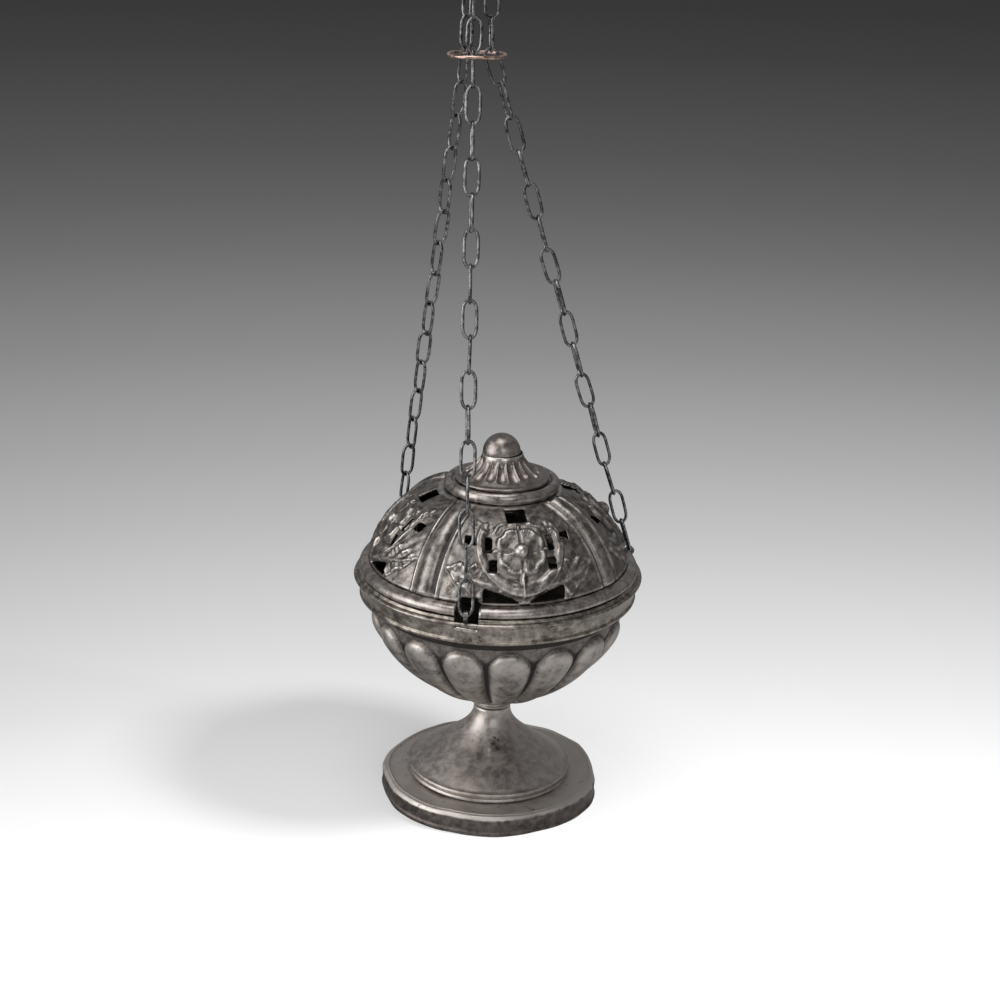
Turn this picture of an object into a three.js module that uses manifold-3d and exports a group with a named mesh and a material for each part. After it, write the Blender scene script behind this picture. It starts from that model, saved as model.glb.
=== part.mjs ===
// A small silver censer that stands on its foot, with its three chains drawn up to a gathering ring.
// Millimetres, +Z up, the origin at the centre of the foot's underside.
// Azimuths are in degrees, measured from the front, which is -Y, towards +X.
import * as THREE from "three";
import { mergeVertices } from "three/addons/utils/BufferGeometryUtils.js";
import Module from "manifold-3d";

const wasm = await Module();
wasm.setup();

// Gaps and gauges
const SEAM = 0.3; // left between pieces that are soldered, screwed or stood together
const SHEET = 1.2; // gauge of the raised silver sheet
const FLOOR_SHEET = 1.6; // thicker floors that a screw bears on
const RUNNING_CLEARANCE = 0.4; // around wire and screws in their holes

// Foot
const FOOT_RADIUS = 42.8;
const FOOT_SKIRT_HEIGHT = 8.4;
const FOOT_SHOULDER = 2.6;
const FOOT_DISC_RADIUS = 32.2;
const FOOT_DISC_STEP = 3.3;
const NECK_RADIUS = 7.2;
const NECK_HEIGHT = 36;
const COLLAR_PROJECTION = 0.6; // past the neck
const COLLAR_HEIGHT = 2.2;

// Bowl
const BOWL_FLOOR_RADIUS = 8;
const LOBE_INSET = 0.8; // from the bowl's edge in to the crests of the lobes
const LOBED_HEIGHT = 39; // from the bowl's underside to the arched tops of the lobes
const LOBE_COUNT = 16;
const LOBE_RELIEF = 2.8;
const LOBE_FADE = 9; // height over which the lobes rise out of the bowl's underside
const FIRST_LOBE_AZIMUTH = 6.6;
const BOWL_COVE_HEIGHT = 6; // plain hollowed zone over the lobes
const BOWL_EDGE_RADIUS = 51; // upright edge inside the rim band
const BOWL_EDGE_HEIGHT = 7;

// Rim band of the bowl
const BAND_WALL = 1.2;
const BEAD_PROJECTION = 0.9;
const BEAD_HEIGHT = 1.8;
const FLANGE_PROJECTION = 2.8; // past the band
const FLANGE_THICKNESS = 1.5;
const FLANGE_RISE = 1.3; // the flange's top climbs this much inwards
const BAND_SHOULDER_WIDTH = 1.2; // inner ledge that rests on the bowl's edge

// Lid
const LID_RING_SECTION = 2.4;
const LID_RING_HEIGHT = 5.1;
const MOULDING_SIDES = ["right", "back", "left"];
const DOME_INSET = 0.7; // from the rim's inner ledge in to the dome's wall
const DOME_HEIGHT = 28.6; // height that the dome's curve would reach on the axis
const DOME_ROUNDNESS = 1.35;
const DOME_FULLNESS = 0.31;
const DOME_SEAT_LEDGE = 0.6; // flat seat showing outside the crown ring
const PANEL_COUNT = 4;
const FIRST_PANEL_AZIMUTH = 12;
const RIB_HALF_WIDTH = 4.8;
const RIB_RELIEF = 1.8;
const ORNAMENT_RELIEF = 0.8;
const ROSETTE_RISE = 18.5; // from the dome's base up the sheet to the rosette's centre
const ROSETTE_RADIUS = 10.2;
const ROSETTE_BOSS_RADIUS = 2.6;
const ROSETTE_BOSS_RELIEF = 1.9;
const STRAP_RADIUS = 14.9; // middle line of the horseshoe round the rosette
const STRAP_WIDTH = 3.2;
const STRAP_OPENING = 58; // half angle left open at the top, in degrees
const STEM_WIDTH = 2.2;
const LEAF_LENGTH = 21;
const LEAF_WIDTH = 9;
// Piercings, placed on the sheet from the rosette's centre; the side ones are on both sides of it
const TOP_PIERCING = { across: 0.4, up: 15.2, width: 8, height: 5.8 };
const SIDE_PIERCINGS = [
  { across: 11.5, up: 2.4, width: 2.6, height: 6.2 },
  { across: 11, up: -5.2, width: 3.4, height: 4.3 },
  { across: 18.2, up: 3.7, width: 4, height: 3.8 },
];

// Crown of the lid
const CROWN_RING_RADIUS = 22;
const CROWN_RING_HEIGHT = 3.2;
const CROWN_RING_WIDTH = 5.5;
const CROWN_BEAD_WIDTH = 3.5; // half-round bead outside the ledge that the cap lies on
const CROWN_BEAD_SPRING = 1.2; // height of the ring's straight edge under the bead
const CROWN_BEAD_RISE = 0.9; // of the bead over the ledge
const CAP_LEDGE = 1.7; // how far the cap lies on the crown ring
const CAP_HEIGHT = 8.7;
const CAP_TOP_RADIUS = 7.9;
const CAP_FLUTES = 18;
const CAP_FLUTE_DEPTH = 0.7;
const BALL_RADIUS = 7.2;
const BALL_RISE = 1.7; // from the cap's top edge up to the ball's centre
const STUD_RADIUS = 1.6;
const NUT_WIDTH = 6.4;
const NUT_HEIGHT = 2.4;
const WASHER_RADIUS = 4.4;
const WASHER_THICKNESS = 0.8;

// Chain slots and lugs
const SLOT_WIDTH = 9;
const SLOT_RISE = 2; // above the lid's moulding, where the dome is cut for the links
const SLOT_CORNER = 2; // cut off the slot's upper corners
const SLOT_RIM = 0.9; // flange edge left standing outside each slot
const LUG_THICKNESS = 1.6;
const LUG_REACH = 1.1; // from the flange's edge inwards to the lug's eye
const EYE_WALL = 0.8;

// Chains
const CHAIN_AZIMUTHS = { front: -12, right: 108, left: -132 };
const LINK_WIRE_RADIUS = 0.55;
const LINK_WIDTH = 6.2;
const LINK_SETTLE = 0.14; // how far the solid joins of a run of links sink into each other
const LINK_FREE_GAP = 0.2; // wire to wire where two runs turn on each other
const LOWER_LINKS = 4;
const MIDDLE_LINKS = 12;
const UPPER_LINKS = 3;
const UPRIGHT_LENGTH = 34; // where the chains hang side by side, under their eyes
const GATHER_RADIUS = 5.3;
const GATHER_OFFSET = -11.5; // the chains are held a little to the left
const GATHER_RING_SLACK = 0.6; // around the bundled chains
const GATHER_RING_WIRE = 0.75;
const GATHER_RING_DROP = 1.2; // the ring rests on the chains where they spread

// Top plate and hanging ring
const EYE_HEIGHT = 322; // eyes that hold the chains under the top plate
const PLATE_RADIUS = 11.5;
const PLATE_THICKNESS = 1.6;
const PLATE_CLEARANCE = 2.4; // from the chains' eyes up to the plate
const EYE_SHANK_RADIUS = 0.9;
const LOOP_SHANK_RADIUS = 1.5;
const RING_WIRE = 1.1;
const RING_RADIUS = 12;

// Charcoal pan
const PAN_FIT = 0.5; // slack of the pan's lip in the tapering bowl
const PAN_LIP_DEPTH = 13.5; // below the top of the bowl
const PAN_FLOOR_RADIUS = 26;
const PAN_DEPTH = 17;
const PAN_LIP_WIDTH = 2;

// Facets
const ROUND = 48;
const DOME_ROUND = 48;
const CUT_ROUND = 32; // hollows and relief, which need fewer
const CAVITY_ROUND = 24;
const SMALL_ROUND = 16;
const LINK_SIDES = 4;
const LINK_STEPS = 8;

// Heights and radii that follow from the sizes above
const discTop = FOOT_SKIRT_HEIGHT + SEAM + FOOT_DISC_STEP;
const collarRadius = NECK_RADIUS + COLLAR_PROJECTION;
const collarBottom = NECK_HEIGHT + SEAM;
const bowlBottom = collarBottom + COLLAR_HEIGHT + SEAM;
const lobeTop = bowlBottom + LOBED_HEIGHT;
const coveTop = lobeTop + BOWL_COVE_HEIGHT;
const bowlTop = coveTop + BOWL_EDGE_HEIGHT;
const bowlRadius = BOWL_EDGE_RADIUS - LOBE_INSET;
const bandBore = BOWL_EDGE_RADIUS + SEAM;
const bandRadius = bandBore + BAND_WALL;
const flangeRadius = bandRadius + FLANGE_PROJECTION;
const shoulderBore = bandBore - BAND_SHOULDER_WIDTH;
const flangeUnderside = bowlTop + SEAM;
const rimTop = flangeUnderside + FLANGE_THICKNESS + FLANGE_RISE;
const lidBottom = rimTop + SEAM;
const domeBase = lidBottom + LID_RING_HEIGHT;
const domeRadius = shoulderBore - DOME_INSET;
const seatRadius = CROWN_RING_RADIUS + DOME_SEAT_LEDGE;
const seatTop = domeHeightAt(seatRadius);
const crownRingBore = CROWN_RING_RADIUS - CROWN_RING_WIDTH;
const capRadius = crownRingBore + CAP_LEDGE;
const crownRingBottom = seatTop + SEAM;
const capBottom = crownRingBottom + CROWN_RING_HEIGHT + SEAM;
const capTop = capBottom + CAP_HEIGHT;
const ballSocketRadius = BALL_RADIUS + SEAM;
const ballHeight = capTop + BALL_RISE;
const slotTop = domeBase + SLOT_RISE;
const wireHoleRadius = LINK_WIRE_RADIUS + RUNNING_CLEARANCE;
const studHoleRadius = STUD_RADIUS + RUNNING_CLEARANCE;
const eyeRadius = wireHoleRadius + EYE_WALL;
const lugEyeRadius = flangeRadius - LUG_REACH;
const lugEyeHeight = rimTop + eyeRadius - SEAM;
const gatherHeight = EYE_HEIGHT - UPRIGHT_LENGTH;
const gatherRingBore = GATHER_RADIUS + LINK_WIDTH / 2 + GATHER_RING_SLACK;
const plateBottom = EYE_HEIGHT + PLATE_CLEARANCE;
const plateTop = plateBottom + PLATE_THICKNESS;

// Materials
function finish(color, roughness, metalness = 1) {
  return new THREE.MeshStandardMaterial({ color, roughness, metalness });
}

const tarnishedSilver = finish(0x857d77, 0.38);
const paleSilver = finish(0x9c948a, 0.32);
const darkSilver = finish(0x5d5a57, 0.45);
const chainSilver = finish(0x6a6866, 0.3);
const wireBrass = finish(0xa98a78, 0.35);
const sootedIron = finish(0x3a3836, 0.7);

const censer = new THREE.Group();

function place(name, geometry, material) {
  const mesh = new THREE.Mesh(geometry, material);
  mesh.name = name;
  censer.add(mesh);
  return mesh;
}

// Solid of a closed geometry, for cutting and joining
function solid(geometry) {
  const bare = geometry.clone();
  bare.deleteAttribute("normal");
  bare.deleteAttribute("uv");
  const merged = mergeVertices(bare, 1e-4);
  const triVerts = new Uint32Array(merged.index.array);
  const vertProperties = merged.attributes.position.array;
  return new wasm.Manifold(new wasm.Mesh({ numProp: 3, vertProperties, triVerts }));
}

function shapeOf(made) {
  const mesh = made.getMesh();
  const geometry = new THREE.BufferGeometry();
  geometry.setAttribute("position", new THREE.BufferAttribute(mesh.vertProperties, 3));
  geometry.setIndex(new THREE.BufferAttribute(mesh.triVerts, 1));
  return geometry;
}

const join = (parts) => parts.reduce((whole, part) => whole.add(part));

// A body turned about the Z axis from [radius, height] points
function turned(profile, segments = ROUND, closed = true) {
  const points = profile.map(([radius, height]) => new THREE.Vector2(radius, height));
  if (closed) points.push(points[0].clone());
  return new THREE.LatheGeometry(points, segments).rotateX(Math.PI / 2);
}

// Moves each vertex of a turned body: change(azimuth, radius, height) gives its new radius and height
function worked(geometry, change) {
  const position = geometry.getAttribute("position");
  for (let i = 0; i < position.count; i++) {
    const azimuth = Math.atan2(position.getX(i), -position.getY(i));
    const radius = Math.hypot(position.getX(i), position.getY(i));
    const [newRadius, newHeight] = change(azimuth, radius, position.getZ(i));
    position.setXYZ(i, newRadius * Math.sin(azimuth), -newRadius * Math.cos(azimuth), newHeight);
  }
  return geometry;
}

// Turns a geometry that was made at the front round to an azimuth
const toAzimuth = (geometry, azimuth) => geometry.rotateZ(THREE.MathUtils.degToRad(azimuth));

// A flat outline of [across, up] points, standing at the front and reaching from one radius to another
function frontPrism(shape, innerRadius, outerRadius) {
  const depth = outerRadius - innerRadius;
  const prism = new THREE.ExtrudeGeometry(shape, { depth, bevelEnabled: false, curveSegments: 3 });
  return prism.rotateX(Math.PI / 2).translate(0, -innerRadius, 0);
}

const outlined = (points) => new THREE.Shape(points.map(([x, y]) => new THREE.Vector2(x, y)));

const rectangle = (halfWidth, bottom, top) =>
  outlined([
    [-halfWidth, bottom],
    [halfWidth, bottom],
    [halfWidth, top],
    [-halfWidth, top],
  ]);

// Foot: a stamped base with a rounded skirt, and a trumpet-shaped cone standing on it
function footBase() {
  const shoulder = FOOT_RADIUS - FOOT_SHOULDER;
  const inner = FOOT_RADIUS - SHEET;
  const top = FOOT_SKIRT_HEIGHT;
  const bore = FOOT_DISC_RADIUS - 4;
  return turned([
    [inner, 0],
    [FOOT_RADIUS, 0],
    [FOOT_RADIUS - 0.3, top - FOOT_SHOULDER],
    [FOOT_RADIUS - 1, top - 1],
    [shoulder, top - 0.2],
    [shoulder - 1.2, top],
    [bore, top],
    [bore, top - SHEET],
    [shoulder - SHEET, top - SHEET],
    [inner - 0.3, top - FOOT_SHOULDER - SHEET],
  ]);
}

const coneCurve = new THREE.CubicBezierCurve(
  new THREE.Vector2(NECK_RADIUS, NECK_HEIGHT),
  new THREE.Vector2(NECK_RADIUS, NECK_HEIGHT - 9),
  new THREE.Vector2(FOOT_DISC_RADIUS - 13.2, discTop + 10.2),
  new THREE.Vector2(FOOT_DISC_RADIUS - 0.5, discTop + 0.4),
);

function footCone() {
  const outer = coneCurve.getPoints(7).map((point) => [point.x, point.y]).reverse();
  const bottom = FOOT_SKIRT_HEIGHT + SEAM;
  const ceiling = NECK_HEIGHT - FLOOR_SHEET;
  const body = turned([
    ...outer,
    [0, NECK_HEIGHT],
    [0, bottom],
    [FOOT_DISC_RADIUS, bottom],
    [FOOT_DISC_RADIUS, discTop],
  ]);
  const hollow = outer
    .map(([radius, height]) => [radius - SHEET, height - SHEET])
    .filter(([, height]) => height < ceiling - SHEET);
  const cavity = turned(
    [...hollow, [NECK_RADIUS - SHEET, ceiling], [0, ceiling], [0, 0], [hollow[0][0], 0]],
    CAVITY_ROUND,
  );
  return shapeOf(solid(body).subtract(solid(cavity)).subtract(bore(studHoleRadius, 0, NECK_HEIGHT + 1)));
}

// A plain round cutter on the axis
function bore(radius, bottom, top) {
  return solid(turned([[0, bottom], [radius, bottom], [radius, top], [0, top]], SMALL_ROUND, false));
}

function neckCollar() {
  const bottom = collarBottom;
  const top = bottom + COLLAR_HEIGHT;
  const waist = NECK_RADIUS - 0.1;
  return turned(
    [
      [studHoleRadius, bottom],
      [waist, bottom],
      [collarRadius, bottom + 0.7],
      [collarRadius, top - 0.7],
      [waist, top],
      [studHoleRadius, top],
    ],
    SMALL_ROUND,
  );
}

// Hexagonal nut and round washer on the axis, under a height
function nutUnder(top) {
  return turned(
    [
      [STUD_RADIUS + SEAM, top - NUT_HEIGHT],
      [NUT_WIDTH / Math.sqrt(3), top - NUT_HEIGHT],
      [NUT_WIDTH / Math.sqrt(3), top],
      [STUD_RADIUS + SEAM, top],
    ],
    6,
  );
}

function washerUnder(top) {
  return turned(
    [
      [STUD_RADIUS + SEAM, top - WASHER_THICKNESS],
      [WASHER_RADIUS, top - WASHER_THICKNESS],
      [WASHER_RADIUS, top],
      [STUD_RADIUS + SEAM, top],
    ],
    SMALL_ROUND,
  );
}

const footWasherTop = NECK_HEIGHT - FLOOR_SHEET - SEAM;
const footNutTop = footWasherTop - WASHER_THICKNESS - SEAM;

// Screw that holds foot, collar and bowl together, with its low head inside the bowl
function footScrew() {
  const headBottom = bowlBottom + FLOOR_SHEET + SEAM;
  const shankEnd = footNutTop - NUT_HEIGHT - 1.2;
  return turned(
    [
      [0, shankEnd],
      [STUD_RADIUS, shankEnd],
      [STUD_RADIUS, headBottom],
      [4.2, headBottom],
      [3.8, headBottom + 1.1],
      [2, headBottom + 1.8],
      [0, headBottom + 1.9],
    ],
    SMALL_ROUND,
    false,
  );
}

// Bowl: crests of the lobes lie on a full, egg-like curve
function crestRadius(height) {
  const fall = THREE.MathUtils.clamp((lobeTop - height) / LOBED_HEIGHT, 0, 1);
  return bowlRadius * (1 - fall ** 1.5) ** 0.6;
}

// Share of the full relief: it dies away towards the foot
const reliefShare = (height) => THREE.MathUtils.smoothstep(height, bowlBottom, bowlBottom + LOBE_FADE);

// Height of a lobe over its ground, 0 to 1. Across runs from -1 to 1 over its width, and depth
// is how far down from its arched top.
function lobeSwell(across, depth) {
  const archRadius = (Math.PI * bowlRadius) / LOBE_COUNT;
  const arch = depth < archRadius ? (1 - depth / archRadius) ** 2 : 0;
  return Math.sqrt(Math.max(0, 1 - across ** 2 - arch));
}

const groundRadius = (height) => crestRadius(height) - LOBE_RELIEF * reliefShare(height);

function bowl() {
  const lobed = [0, 0.067, 0.18, 0.333, 0.513, 0.718, 0.846, 0.936, 0.99].map((share) => {
    const height = bowlBottom + share * LOBED_HEIGHT;
    return [Math.max(groundRadius(height), BOWL_FLOOR_RADIUS), height];
  });
  const coveStart = groundRadius(lobeTop);
  const cove = [0.4, 0.8].map((t) => [
    coveStart + (BOWL_EDGE_RADIUS - coveStart) * t ** 2,
    lobeTop + BOWL_COVE_HEIGHT * t,
  ]);
  const outline = [
    [0, bowlBottom],
    ...lobed,
    ...cove,
    [BOWL_EDGE_RADIUS, coveTop],
    [BOWL_EDGE_RADIUS, bowlTop],
    [0, bowlTop],
  ];
  const columns = LOBE_COUNT * 4;
  const lobeAngle = (2 * Math.PI) / LOBE_COUNT;
  const body = worked(turned(outline, columns, false), (azimuth, radius, height) => {
    if (height > lobeTop || height <= bowlBottom || radius < 1) return [radius, height];
    const turns = azimuth / lobeAngle;
    const across = 2 * (turns - Math.round(turns));
    const lift = LOBE_RELIEF * reliefShare(height) * lobeSwell(across, lobeTop - height);
    return [radius + lift, height];
  }).rotateZ(THREE.MathUtils.degToRad(FIRST_LOBE_AZIMUTH));
  const mouthRadius = bowlCavity.at(-1)[0];
  const cavity = turned([...bowlCavity, [mouthRadius, bowlTop + 1], [0, bowlTop + 1]], CUT_ROUND, false);
  return shapeOf(solid(body).subtract(solid(cavity)).subtract(bore(studHoleRadius, 0, bowlTop)));
}

// Inside of the bowl, smooth, from the middle of its floor to its upright edge
const bowlCavity = [
  [0, bowlBottom + FLOOR_SHEET],
  [BOWL_FLOOR_RADIUS - 1, bowlBottom + FLOOR_SHEET],
  ...[0.077, 0.205, 0.385, 0.615, 0.82, 0.974].map((share) => {
    const height = bowlBottom + FLOOR_SHEET + share * LOBED_HEIGHT;
    return [groundRadius(Math.min(height, lobeTop)) - 1.3 * SHEET, height];
  }),
  [BOWL_EDGE_RADIUS - SHEET, coveTop],
];

function cavityRadiusAt(height) {
  const above = bowlCavity.findIndex(([, level]) => level >= height);
  const [r0, z0] = bowlCavity[above - 1];
  const [r1, z1] = bowlCavity[above];
  return THREE.MathUtils.mapLinear(height, z0, z1, r0, r1);
}

// Band round the bowl's edge, with a bead below and a flange above that the lid stands on
function rimBand() {
  const bottom = coveTop - 0.2;
  const beadRadius = bandRadius + BEAD_PROJECTION;
  const top = flangeUnderside + FLANGE_THICKNESS;
  const ring = turned([
    [bandBore, bottom],
    [beadRadius - 0.3, bottom],
    [beadRadius, bottom + BEAD_HEIGHT * 0.45],
    [beadRadius - 0.4, bottom + BEAD_HEIGHT * 0.9],
    [bandRadius, bottom + BEAD_HEIGHT],
    [bandRadius, flangeUnderside],
    [flangeRadius - 0.6, flangeUnderside + 0.1],
    [flangeRadius, flangeUnderside + FLANGE_THICKNESS * 0.5],
    [flangeRadius - 0.2, top],
    [flangeRadius - 1.4, top + FLANGE_RISE * 0.55],
    [bandRadius, rimTop],
    [shoulderBore, rimTop],
    [shoulderBore, flangeUnderside],
    [bandBore, flangeUnderside],
  ]);
  const slotBottom = flangeUnderside - 1;
  const outline = rectangle(SLOT_WIDTH / 2, slotBottom, rimTop + 1);
  const slots = Object.values(CHAIN_AZIMUTHS).map((azimuth) =>
    solid(toAzimuth(frontPrism(outline, shoulderBore - 1, flangeRadius - SLOT_RIM), azimuth)),
  );
  return shapeOf(solid(ring).subtract(join(slots)));
}

// The lid's slots rise through its moulding into the foot of the dome
function lidSlots() {
  const half = SLOT_WIDTH / 2;
  const shape = outlined([
    [-half, lidBottom - 1],
    [half, lidBottom - 1],
    [half, slotTop - SLOT_CORNER],
    [half - SLOT_CORNER, slotTop],
    [SLOT_CORNER - half, slotTop],
    [-half, slotTop - SLOT_CORNER],
  ]);
  return join(
    Object.values(CHAIN_AZIMUTHS).map((azimuth) =>
      solid(toAzimuth(frontPrism(shape, domeRadius - 7, flangeRadius + 5), azimuth)),
    ),
  );
}

// Half-round moulding at the foot of the dome. The slots cut it into three lengths.
function lidMouldings() {
  const inner = domeRadius + SEAM;
  const outer = inner + LID_RING_SECTION;
  const ring = turned([
    [inner, lidBottom],
    [outer - 0.9, lidBottom],
    [outer - 0.2, lidBottom + 0.8],
    [outer, lidBottom + 2],
    [outer - 0.4, lidBottom + 3.4],
    [outer - 1.3, domeBase - 0.4],
    [outer - 2.1, domeBase],
    [inner, domeBase],
  ]);
  const cut = solid(ring).subtract(lidSlots());
  const azimuths = Object.values(CHAIN_AZIMUTHS);
  const length = 360 / azimuths.length;
  return azimuths.map((azimuth) => shapeOf(cut.intersect(sector(azimuth, azimuth + length))));
}

// A wedge of space round the axis, between two azimuths
function sector(from, to) {
  const reach = 4 * flangeRadius;
  const corners = [from, (from + to) / 2, to].map((azimuth) => {
    const angle = THREE.MathUtils.degToRad(azimuth);
    return new THREE.Vector2(reach * Math.sin(angle), -reach * Math.cos(angle));
  });
  const shape = new THREE.Shape([new THREE.Vector2(), ...corners]);
  return solid(new THREE.ExtrudeGeometry(shape, { depth: domeBase, bevelEnabled: false }));
}

// Dome of the lid
function domeRadiusAt(height) {
  const rise = THREE.MathUtils.clamp((height - domeBase) / DOME_HEIGHT, 0, 1);
  return domeRadius * (1 - rise ** DOME_ROUNDNESS) ** DOME_FULLNESS;
}

function domeHeightAt(radius) {
  const rise = (1 - (radius / domeRadius) ** (1 / DOME_FULLNESS)) ** (1 / DOME_ROUNDNESS);
  return domeBase + DOME_HEIGHT * rise;
}

// Dome profile from its base up to its flat seat, moved out from the sheet's face by an amount
function domeProfile(offset, steps) {
  const points = [];
  for (let i = 0; i <= steps; i++) {
    const outness = Math.cos((i / steps) * (Math.PI / 2)) ** 0.8;
    const radius = THREE.MathUtils.lerp(seatRadius, domeRadius, outness);
    const height = domeHeightAt(radius);
    const slope = Math.atan2(domeRadiusAt(height - 0.2) - domeRadiusAt(height + 0.2), 0.4);
    points.push([radius + offset * Math.cos(slope), height + offset * Math.sin(slope)]);
  }
  return points;
}

const domeFace = domeProfile(0, 8);
const domeInside = domeProfile(-SHEET, 5);

function domeBlank() {
  const outline = [[0, lidBottom], [domeRadius, lidBottom], ...domeFace, [0, seatTop]];
  const panelAngle = (2 * Math.PI) / PANEL_COUNT;
  const blank = worked(turned(outline, DOME_ROUND, false), (azimuth, radius, height) => {
    if (height < domeBase + 0.1 || radius < seatRadius + 0.5) return [radius, height];
    const turns = azimuth / panelAngle;
    const distance = Math.abs(turns - Math.round(turns)) * panelAngle * radius;
    const halfWidth = THREE.MathUtils.lerp(0.7, 1, radius / domeRadius) * RIB_HALF_WIDTH;
    const lift = RIB_RELIEF * Math.max(0, 1 - (distance / halfWidth) ** 2);
    return [radius + lift * 0.75, height + lift * 0.6];
  });
  return solid(blank.rotateZ(THREE.MathUtils.degToRad(FIRST_PANEL_AZIMUTH) + panelAngle / 2));
}

// Height that a distance up the sheet from the dome's base reaches
function heightUpSheet(distance) {
  let left = distance;
  for (let i = 1; i < domeFace.length; i++) {
    const [[r0, z0], [r1, z1]] = [domeFace[i - 1], domeFace[i]];
    const step = Math.hypot(r1 - r0, z1 - z0);
    if (left <= step) return THREE.MathUtils.lerp(z0, z1, left / step);
    left -= step;
  }
  return seatTop;
}

// Outline of [across, up] points, measured on a panel's sheet from its rosette's centre
function onSheet(points) {
  return outlined(
    points.map(([across, up]) => {
      const height = heightUpSheet(ROSETTE_RISE + up);
      const radius = domeRadiusAt(height);
      return [radius * Math.sin(across / radius), height];
    }),
  );
}

// Points along an arc about the rosette's centre, in degrees anticlockwise from the right
function arcPoints(radius, from, to, steps) {
  return Array.from({ length: steps + 1 }, (_, i) => {
    const angle = THREE.MathUtils.degToRad(THREE.MathUtils.lerp(from, to, i / steps));
    return [radius * Math.cos(angle), radius * Math.sin(angle)];
  });
}

// Raised work of a panel: a rosette in a horseshoe strap, with a stem and two leaves at its foot
function rosetteOutline() {
  const notched = ([x, y]) => {
    const share = 0.9 + 0.1 * Math.cos(4 * Math.atan2(y, x) - Math.PI);
    return [x * share, y * share];
  };
  return onSheet(arcPoints(ROSETTE_RADIUS, 0, 360, 16).slice(1).map(notched));
}

function strapOutline() {
  const from = STRAP_OPENING - 270;
  const to = 90 - STRAP_OPENING;
  const outer = arcPoints(STRAP_RADIUS + STRAP_WIDTH / 2, from, to, 12);
  const inner = arcPoints(STRAP_RADIUS - STRAP_WIDTH / 2, to, from, 12);
  return onSheet([...outer, ...inner]);
}

function stemOutline() {
  const half = STEM_WIDTH / 2;
  const top = 1 - ROSETTE_RADIUS;
  const bottom = 1 - STRAP_RADIUS;
  return onSheet([[-half, bottom], [half, bottom], [half, top], [-half, top]]);
}

function leafOutline(side) {
  const lowerEdge = [[0, 0], [0.12, -0.3], [0.4, -0.5], [0.75, -0.42]];
  const upperEdge = [[1, 0], [0.8, 0.35], [0.45, 0.5], [0.15, 0.35]];
  const points = [...lowerEdge, ...upperEdge].map(([along, beside]) => [
    side * (STRAP_RADIUS / 2 + along * LEAF_LENGTH),
    1.7 - STRAP_RADIUS + beside * LEAF_WIDTH + 0.25 * along ** 2 * LEAF_LENGTH,
  ]);
  return onSheet(points);
}

function piercingOutline({ across, up, width, height }, side = 1) {
  const left = side * across - width / 2;
  const bottom = up - height / 2;
  return onSheet([
    [left, bottom],
    [left + width, bottom],
    [left + width, bottom + height],
    [left, bottom + height],
  ]);
}

// Openings between the leaves and the strap, over the lid's moulding
function crescentOutline(side) {
  const corners = [[5.3, 0.6], [15.5, 0.4], [15.9, 1.6], [13.1, 3.2], [8.3, 4.4], [5.7, 4.5]];
  return onSheet(corners.map(([across, rise]) => [side * across, rise - ROSETTE_RISE]));
}

function panelCuts(azimuth) {
  const outlines = [piercingOutline(TOP_PIERCING)];
  for (const side of [-1, 1]) {
    for (const piercing of SIDE_PIERCINGS) outlines.push(piercingOutline(piercing, side));
    outlines.push(crescentOutline(side));
  }
  return outlines.map((outline) =>
    solid(toAzimuth(frontPrism(outline, seatRadius + 2.6, domeRadius + 3), azimuth)),
  );
}

// A layer of the dome's wall, from half way into the sheet out to a raised face
function domeLayer(lift) {
  const steps = 4;
  const under = domeProfile(-SHEET / 2, steps).slice(0, -1);
  const face = domeProfile(lift, steps).slice(0, -1);
  const outline = [[under[0][0], domeBase], ...under, ...face.reverse(), [face.at(-1)[0], domeBase]];
  return solid(turned(outline.reverse(), CAVITY_ROUND));
}

function lidDome() {
  const panelAngle = 360 / PANEL_COUNT;
  const azimuths = Array.from({ length: PANEL_COUNT }, (_, i) => FIRST_PANEL_AZIMUTH + i * panelAngle);
  const onEachPanel = (shape) => {
    const prism = frontPrism(shape, seatRadius - 2, domeRadius + 5);
    return join(azimuths.map((azimuth) => solid(toAzimuth(prism.clone(), azimuth))));
  };
  const outlines = [rosetteOutline(), strapOutline(), stemOutline(), leafOutline(1), leafOutline(-1)];
  const raised = join(outlines.map(onEachPanel)).intersect(domeLayer(ORNAMENT_RELIEF));
  const boss = onSheet(arcPoints(ROSETTE_BOSS_RADIUS, 0, 360, 8).slice(1));
  const bosses = onEachPanel(boss).intersect(domeLayer(ROSETTE_BOSS_RELIEF));
  const ceiling = seatTop - SHEET;
  const inside = turned(
    [
      [0, lidBottom - 1],
      [domeRadius - SHEET, lidBottom - 1],
      ...domeInside.slice(0, -1),
      [seatRadius - 1, ceiling],
      [0, ceiling],
    ],
    CUT_ROUND,
    false,
  );
  const holes = [...azimuths.flatMap(panelCuts), lidSlots(), bore(studHoleRadius, 0, seatTop + 1)];
  return shapeOf(join([domeBlank(), raised, bosses]).subtract(solid(inside)).subtract(join(holes)));
}

// Crown: a ring with a half-round bead, a fluted cap and a ball whose stud holds them on the dome
function crownRing() {
  const ledge = crownRingBottom + CROWN_RING_HEIGHT;
  const half = CROWN_BEAD_WIDTH / 2;
  const springing = crownRingBottom + CROWN_BEAD_SPRING;
  const rise = ledge + CROWN_BEAD_RISE - springing;
  const innerFoot = Math.PI - Math.asin((ledge - springing) / rise);
  const bead = [];
  const steps = 5;
  for (let i = 0; i <= steps; i++) {
    const angle = (i / steps) * innerFoot;
    bead.push([CROWN_RING_RADIUS - half + half * Math.cos(angle), springing + rise * Math.sin(angle)]);
  }
  const underside = [
    [crownRingBore, crownRingBottom],
    [CROWN_RING_RADIUS, crownRingBottom],
  ];
  return turned([...underside, ...bead, [crownRingBore, ledge]], CUT_ROUND);
}

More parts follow.
